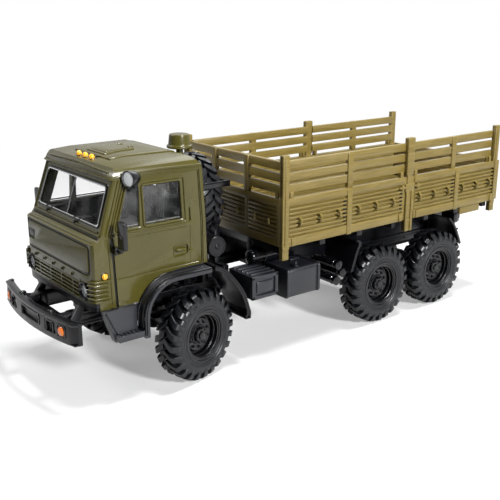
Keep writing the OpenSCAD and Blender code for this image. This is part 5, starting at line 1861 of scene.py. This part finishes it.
def mudguards():
    """The guard behind the cab with its beads and flap, and one before and behind the rear wheels."""
    p = Piece("mudguards_moulded")
    arch_top, wide = high("cab_fenders").z, high("mudguards").y
    guard(p, [(-4.9, arch_top - 0.5), (-8.6, arch_top - 2.2), (-12.7, arch_top - 6.6),
              (-15.9, arch_top - 11.4), (-17.8, arch_top - 16.8), (-18.2, arch_top - 18.2),
              (-18.1, arch_top - 20.2)],
          [(-4.9, arch_top - 1.7), (-7.9, arch_top - 3.1), (-11.8, arch_top - 7.3),
           (-14.9, arch_top - 11.8), (-16.7, arch_top - 16.7), (-16.9, arch_top - 18.2),
           (-17.0, arch_top - 20.2)], 14.2, wide, 0.42)
    p.box((-18.4, 14.2, arch_top - 20.4), (-16.5, wide, arch_top - 18.9), 0.35, 3)
    p.box((-15.4, RAIL_Y, RAIL_Z), (-13.2, 14.5, RAIL_Z + 2), 0.25)
    for y in (17.2, 20.4, 23.6):
        bead = spline([(-5.2, arch_top - 0.6), (-8.6, arch_top - 2.2), (-12.7, arch_top - 6.6),
                       (-15.9, arch_top - 11.4), (-17.8, arch_top - 16.8)])
        p.tube([(x, y, z) for x, z in bead], 0.26, 8)
    middle_x, rear_x = MIDDLE_AXLE + TYRE_R, REAR_AXLE - TYRE_R
    top = BED_Z - 3.8
    guard(p, [(middle_x - 2.2, top), (middle_x - 3.9, RAIL_TOP + 6.0), (middle_x - 2.6, RAIL_Z + 7.4),
              (middle_x - 0.3, RAIL_Z + 0.6)],
          [(middle_x - 1.3, top), (middle_x - 3.0, RAIL_TOP + 6.0), (middle_x - 1.7, RAIL_Z + 7.4),
           (middle_x + 0.6, RAIL_Z + 0.6)], RAIL_Y, wide, 0.38)
    guard(p, [(rear_x + 8.0, top), (rear_x + 4.3, RAIL_TOP + 3.1), (rear_x + 0.4, RAIL_Z + 0.3)],
          [(rear_x + 7.1, top), (rear_x + 3.4, RAIL_TOP + 3.1), (rear_x - 0.5, RAIL_Z + 0.3)], RAIL_Y, wide,
          0.38)
    return p.mirrored()


mudguards().done("chassis", black_plastic, "black_plastic", "mudguards")

# %% [markdown]
# The springs are stacks of leaves, each shorter than the one before, held by straps at their middle. The
# front ones curve up to the frame, and the pair behind curves down to both axles.

# %% Leaf springs
def leaf_stack(p, middle_x, half, centre_z, rise, shorter):
    """Four leaves; shorter is -1 when the short ones lie below."""
    for i in range(4):
        reach, thick = half * (1 - 0.21 * i), 0.4
        z0 = centre_z + shorter * 0.46 * i - shorter * 0.68
        line = [(u / 8 * reach, rise * (u / 8 * reach / half) ** 2) for u in range(-8, 9)]
        outline = [(middle_x + x, z0 + z - thick / 2) for x, z in line]
        outline += [(middle_x + x, z0 + z + thick / 2) for x, z in reversed(line)]
        p.plate(outline, 9.2 + 0.05 * i, RAIL_Y - 0.05 * i, 0.1, 1)
    for x in (-1.5, 1.1):
        p.box((middle_x + x, 9.0, centre_z - 1.1), (middle_x + x + 0.5, RAIL_Y + 0.15, centre_z + 1.1), 0.15)


def leaf_springs():
    """The front pair, and the pair between the two rear axles."""
    p = Piece("leaf_springs_stacked")
    front_z = low("leaf_springs").z + 0.9
    leaf_stack(p, 2.6, 17, front_z, RAIL_Z - front_z - 0.4, -1)
    bogie = (MIDDLE_AXLE + REAR_AXLE) / 2
    leaf_stack(p, bogie, 17.1, RAIL_Z - 0.95, 17.4 - RAIL_Z + 0.6, 1)
    return p.mirrored()


leaf_springs().done("chassis", black_plastic, "black_plastic", "leaf_springs")

# %% [markdown]
# The rails keep their CAD shape with softened edges. Lips along their outer faces make them read as
# channels, and the row tree sets a line of rivets on each.

# %% Lips and rivets of the rails
def rail_trim():
    """Two lips and a line of rivets on each rail, with the spring hangers' plates."""
    p = Piece("rail_lips")
    rear, front = low("frame_rails").x - ARCH_X + 1.4, high("frame_rails").x - ARCH_X - 0.4
    for z in (RAIL_Z + 0.35, RAIL_TOP - 0.35):
        p.box((rear, RAIL_Y - 0.2, z - 0.35), (front, RAIL_Y + 0.28, z + 0.34), 0.12)
    for x in (-3.5, 33.6):
        p.box((x, 8.9, RAIL_Z - 0.35), (x + 2.4, RAIL_Y + 0.4, RAIL_TOP + 0.3), 0.25)
    rivet = Piece("rivet").turned([(-0.1, 0), (-0.1, 0.4), (0.15, 0.38), (0.3, 0.2), (0.32, 0)],
                                  (rear + 3, RAIL_Y, (RAIL_Z + RAIL_TOP) / 2), (0, 1, 0), 10).made()
    return both_sides("rail_trim", [p.made(), row(rivet, 28, (6, 0, 0), black_plastic)])


dress(rail_trim(), "chassis", black_plastic, "black_plastic")

# %% [markdown]
# Each axle has a round cover with a ring of ten bolts. The ring tree lays out one bolt, and the result
# is placed at the three axles and mirrored to their other side.

# %% Bolts of the axle covers
def axle_covers():
    bolt = Piece("bolt").turned([(-0.2, 0), (-0.2, 0.33), (0.2, 0.33), (0.3, 0.2), (0.3, 0)],
                                (HUB_X, 3.4, 3.4), (0, 1, 0), 6).made()
    bolts = ring(bolt, 10, black_plastic)
    spots = [middle("front_axle_beam"), middle("middle_axle_rod"), middle("rear_axle_rod")]
    placed = [joined("b", [bolts], Matrix.Translation((spot.x * MM, 0, TYRE_R * MM))) for spot in spots]
    return both_sides("axle_bolts", placed)


dress(axle_covers(), "chassis", black_plastic, "black_plastic")

# %% [markdown]
# The castings of the running gear are plain shapes that hardly show. They are the CAD nodes with their
# edges rounded by about as much as a mould would.

# %% Castings and shafts
for name, width in (("frame_rails", 0.25), ("engine_block", 0.4), ("transfer_case", 0.45),
                    ("front_axle_beam", 0.25), ("axle_housings", 0.3), ("cab_rest", 0.3),
                    ("spare_carrier", 0.3), ("tail_lamps", 0.35)):
    soft_copy(name, "chassis", gloss_black if name in ("spare_carrier", "tail_lamps") else black_plastic,
              "black_plastic", width)
for name in ("knuckle_left", "knuckle_right", "tie_rod"):
    soft_copy(name, name, black_plastic, "black_plastic", 0.2)
soft_copy("drive_shafts", "chassis", steel, "steel", 0.15)

# %% [markdown]
# The shafts end in forked joints, turned here as short stepped collars. Six hangers hold the transfer
# case below the rails.

# %% Shaft joints
def shaft_joints():
    """A collar at each end of the three shafts, and the hangers."""
    p = Piece("shaft_joints")
    yoke = [(0, 0), (0, 1.3), (0.8, 1.3), (1.0, 1.6), (1.7, 1.6), (1.9, 1.2), (2.2, 1.0), (2.2, 0)]
    ends = ((-37.4, TYRE_R + 2, 1), (-48.6, TYRE_R + 2, -1), (-3.8, TYRE_R + 0.15, -1),
            (-71.0, TYRE_R + 0.2, 1), (-83.3, TYRE_R, -1), (-102.3, TYRE_R, 1))
    for x, z, way in ends:
        p.turned(yoke, (x, 0, z), (way, 0, 0), 20)
    for y in (-4.6, 4.6):
        for x in (-46.2, -43.4, -40.6):
            p.box((x, y - 0.35, TYRE_R - 0.8), (x + 0.7, y + 0.35, RAIL_Z - 0.4), 0.2)
    return p


shaft_joints().done("chassis", black_plastic, "black_plastic")

# %% [markdown]
# Tail lamps hang on black brackets below the bed, each with a red and an orange lens that face the rear.

# %% Rear lamps
def rear_lenses(name, y, material, slot):
    """One round lens on each side, that far from the truck's middle."""
    p = Piece(name)
    x, z = low("tail_lamps").x - ARCH_X, middle("tail_lamps").z
    lens = [(-0.3, 0), (-0.3, 1.35), (0.12, 1.4), (0.4, 1.15), (0.55, 0.6), (0.58, 0)]
    for s in (1, -1):
        p.turned(lens, (x, s * y, z), (-1, 0, 0), 28)
    p.done("chassis", material, slot)


rear_lenses("tail_lens_red", 21.1, red, "lamp_lens")
rear_lenses("tail_lens_orange", 24.1, orange, "amber_lens")

# %% [markdown]
# The clear inserts, the steering wheel and the axle rods are left as the frame brought them. They, and
# the nodes that other pieces stand for, get the finish of their own slot.

# %% Finishes of the remaining CAD nodes
slots = {s["node"]: s["material_slot"] for s in frame["record"]["subparts"]}
finishes = {"cab_paint": cab_paint, "bed_paint": bed_paint, "black_plastic": black_plastic, "tyre": rubber,
            "steel": steel, "amber_lens": amber, "lamp_lens": lamp_glass, "clear_glazing": glazing}
for name, obj in frame["nodes"].items():
    obj.data.materials.clear()
    obj.data.materials.append(finishes[slots[name]])
print(len(frame["nodes"]), "CAD nodes have a finish")

# %% [markdown]
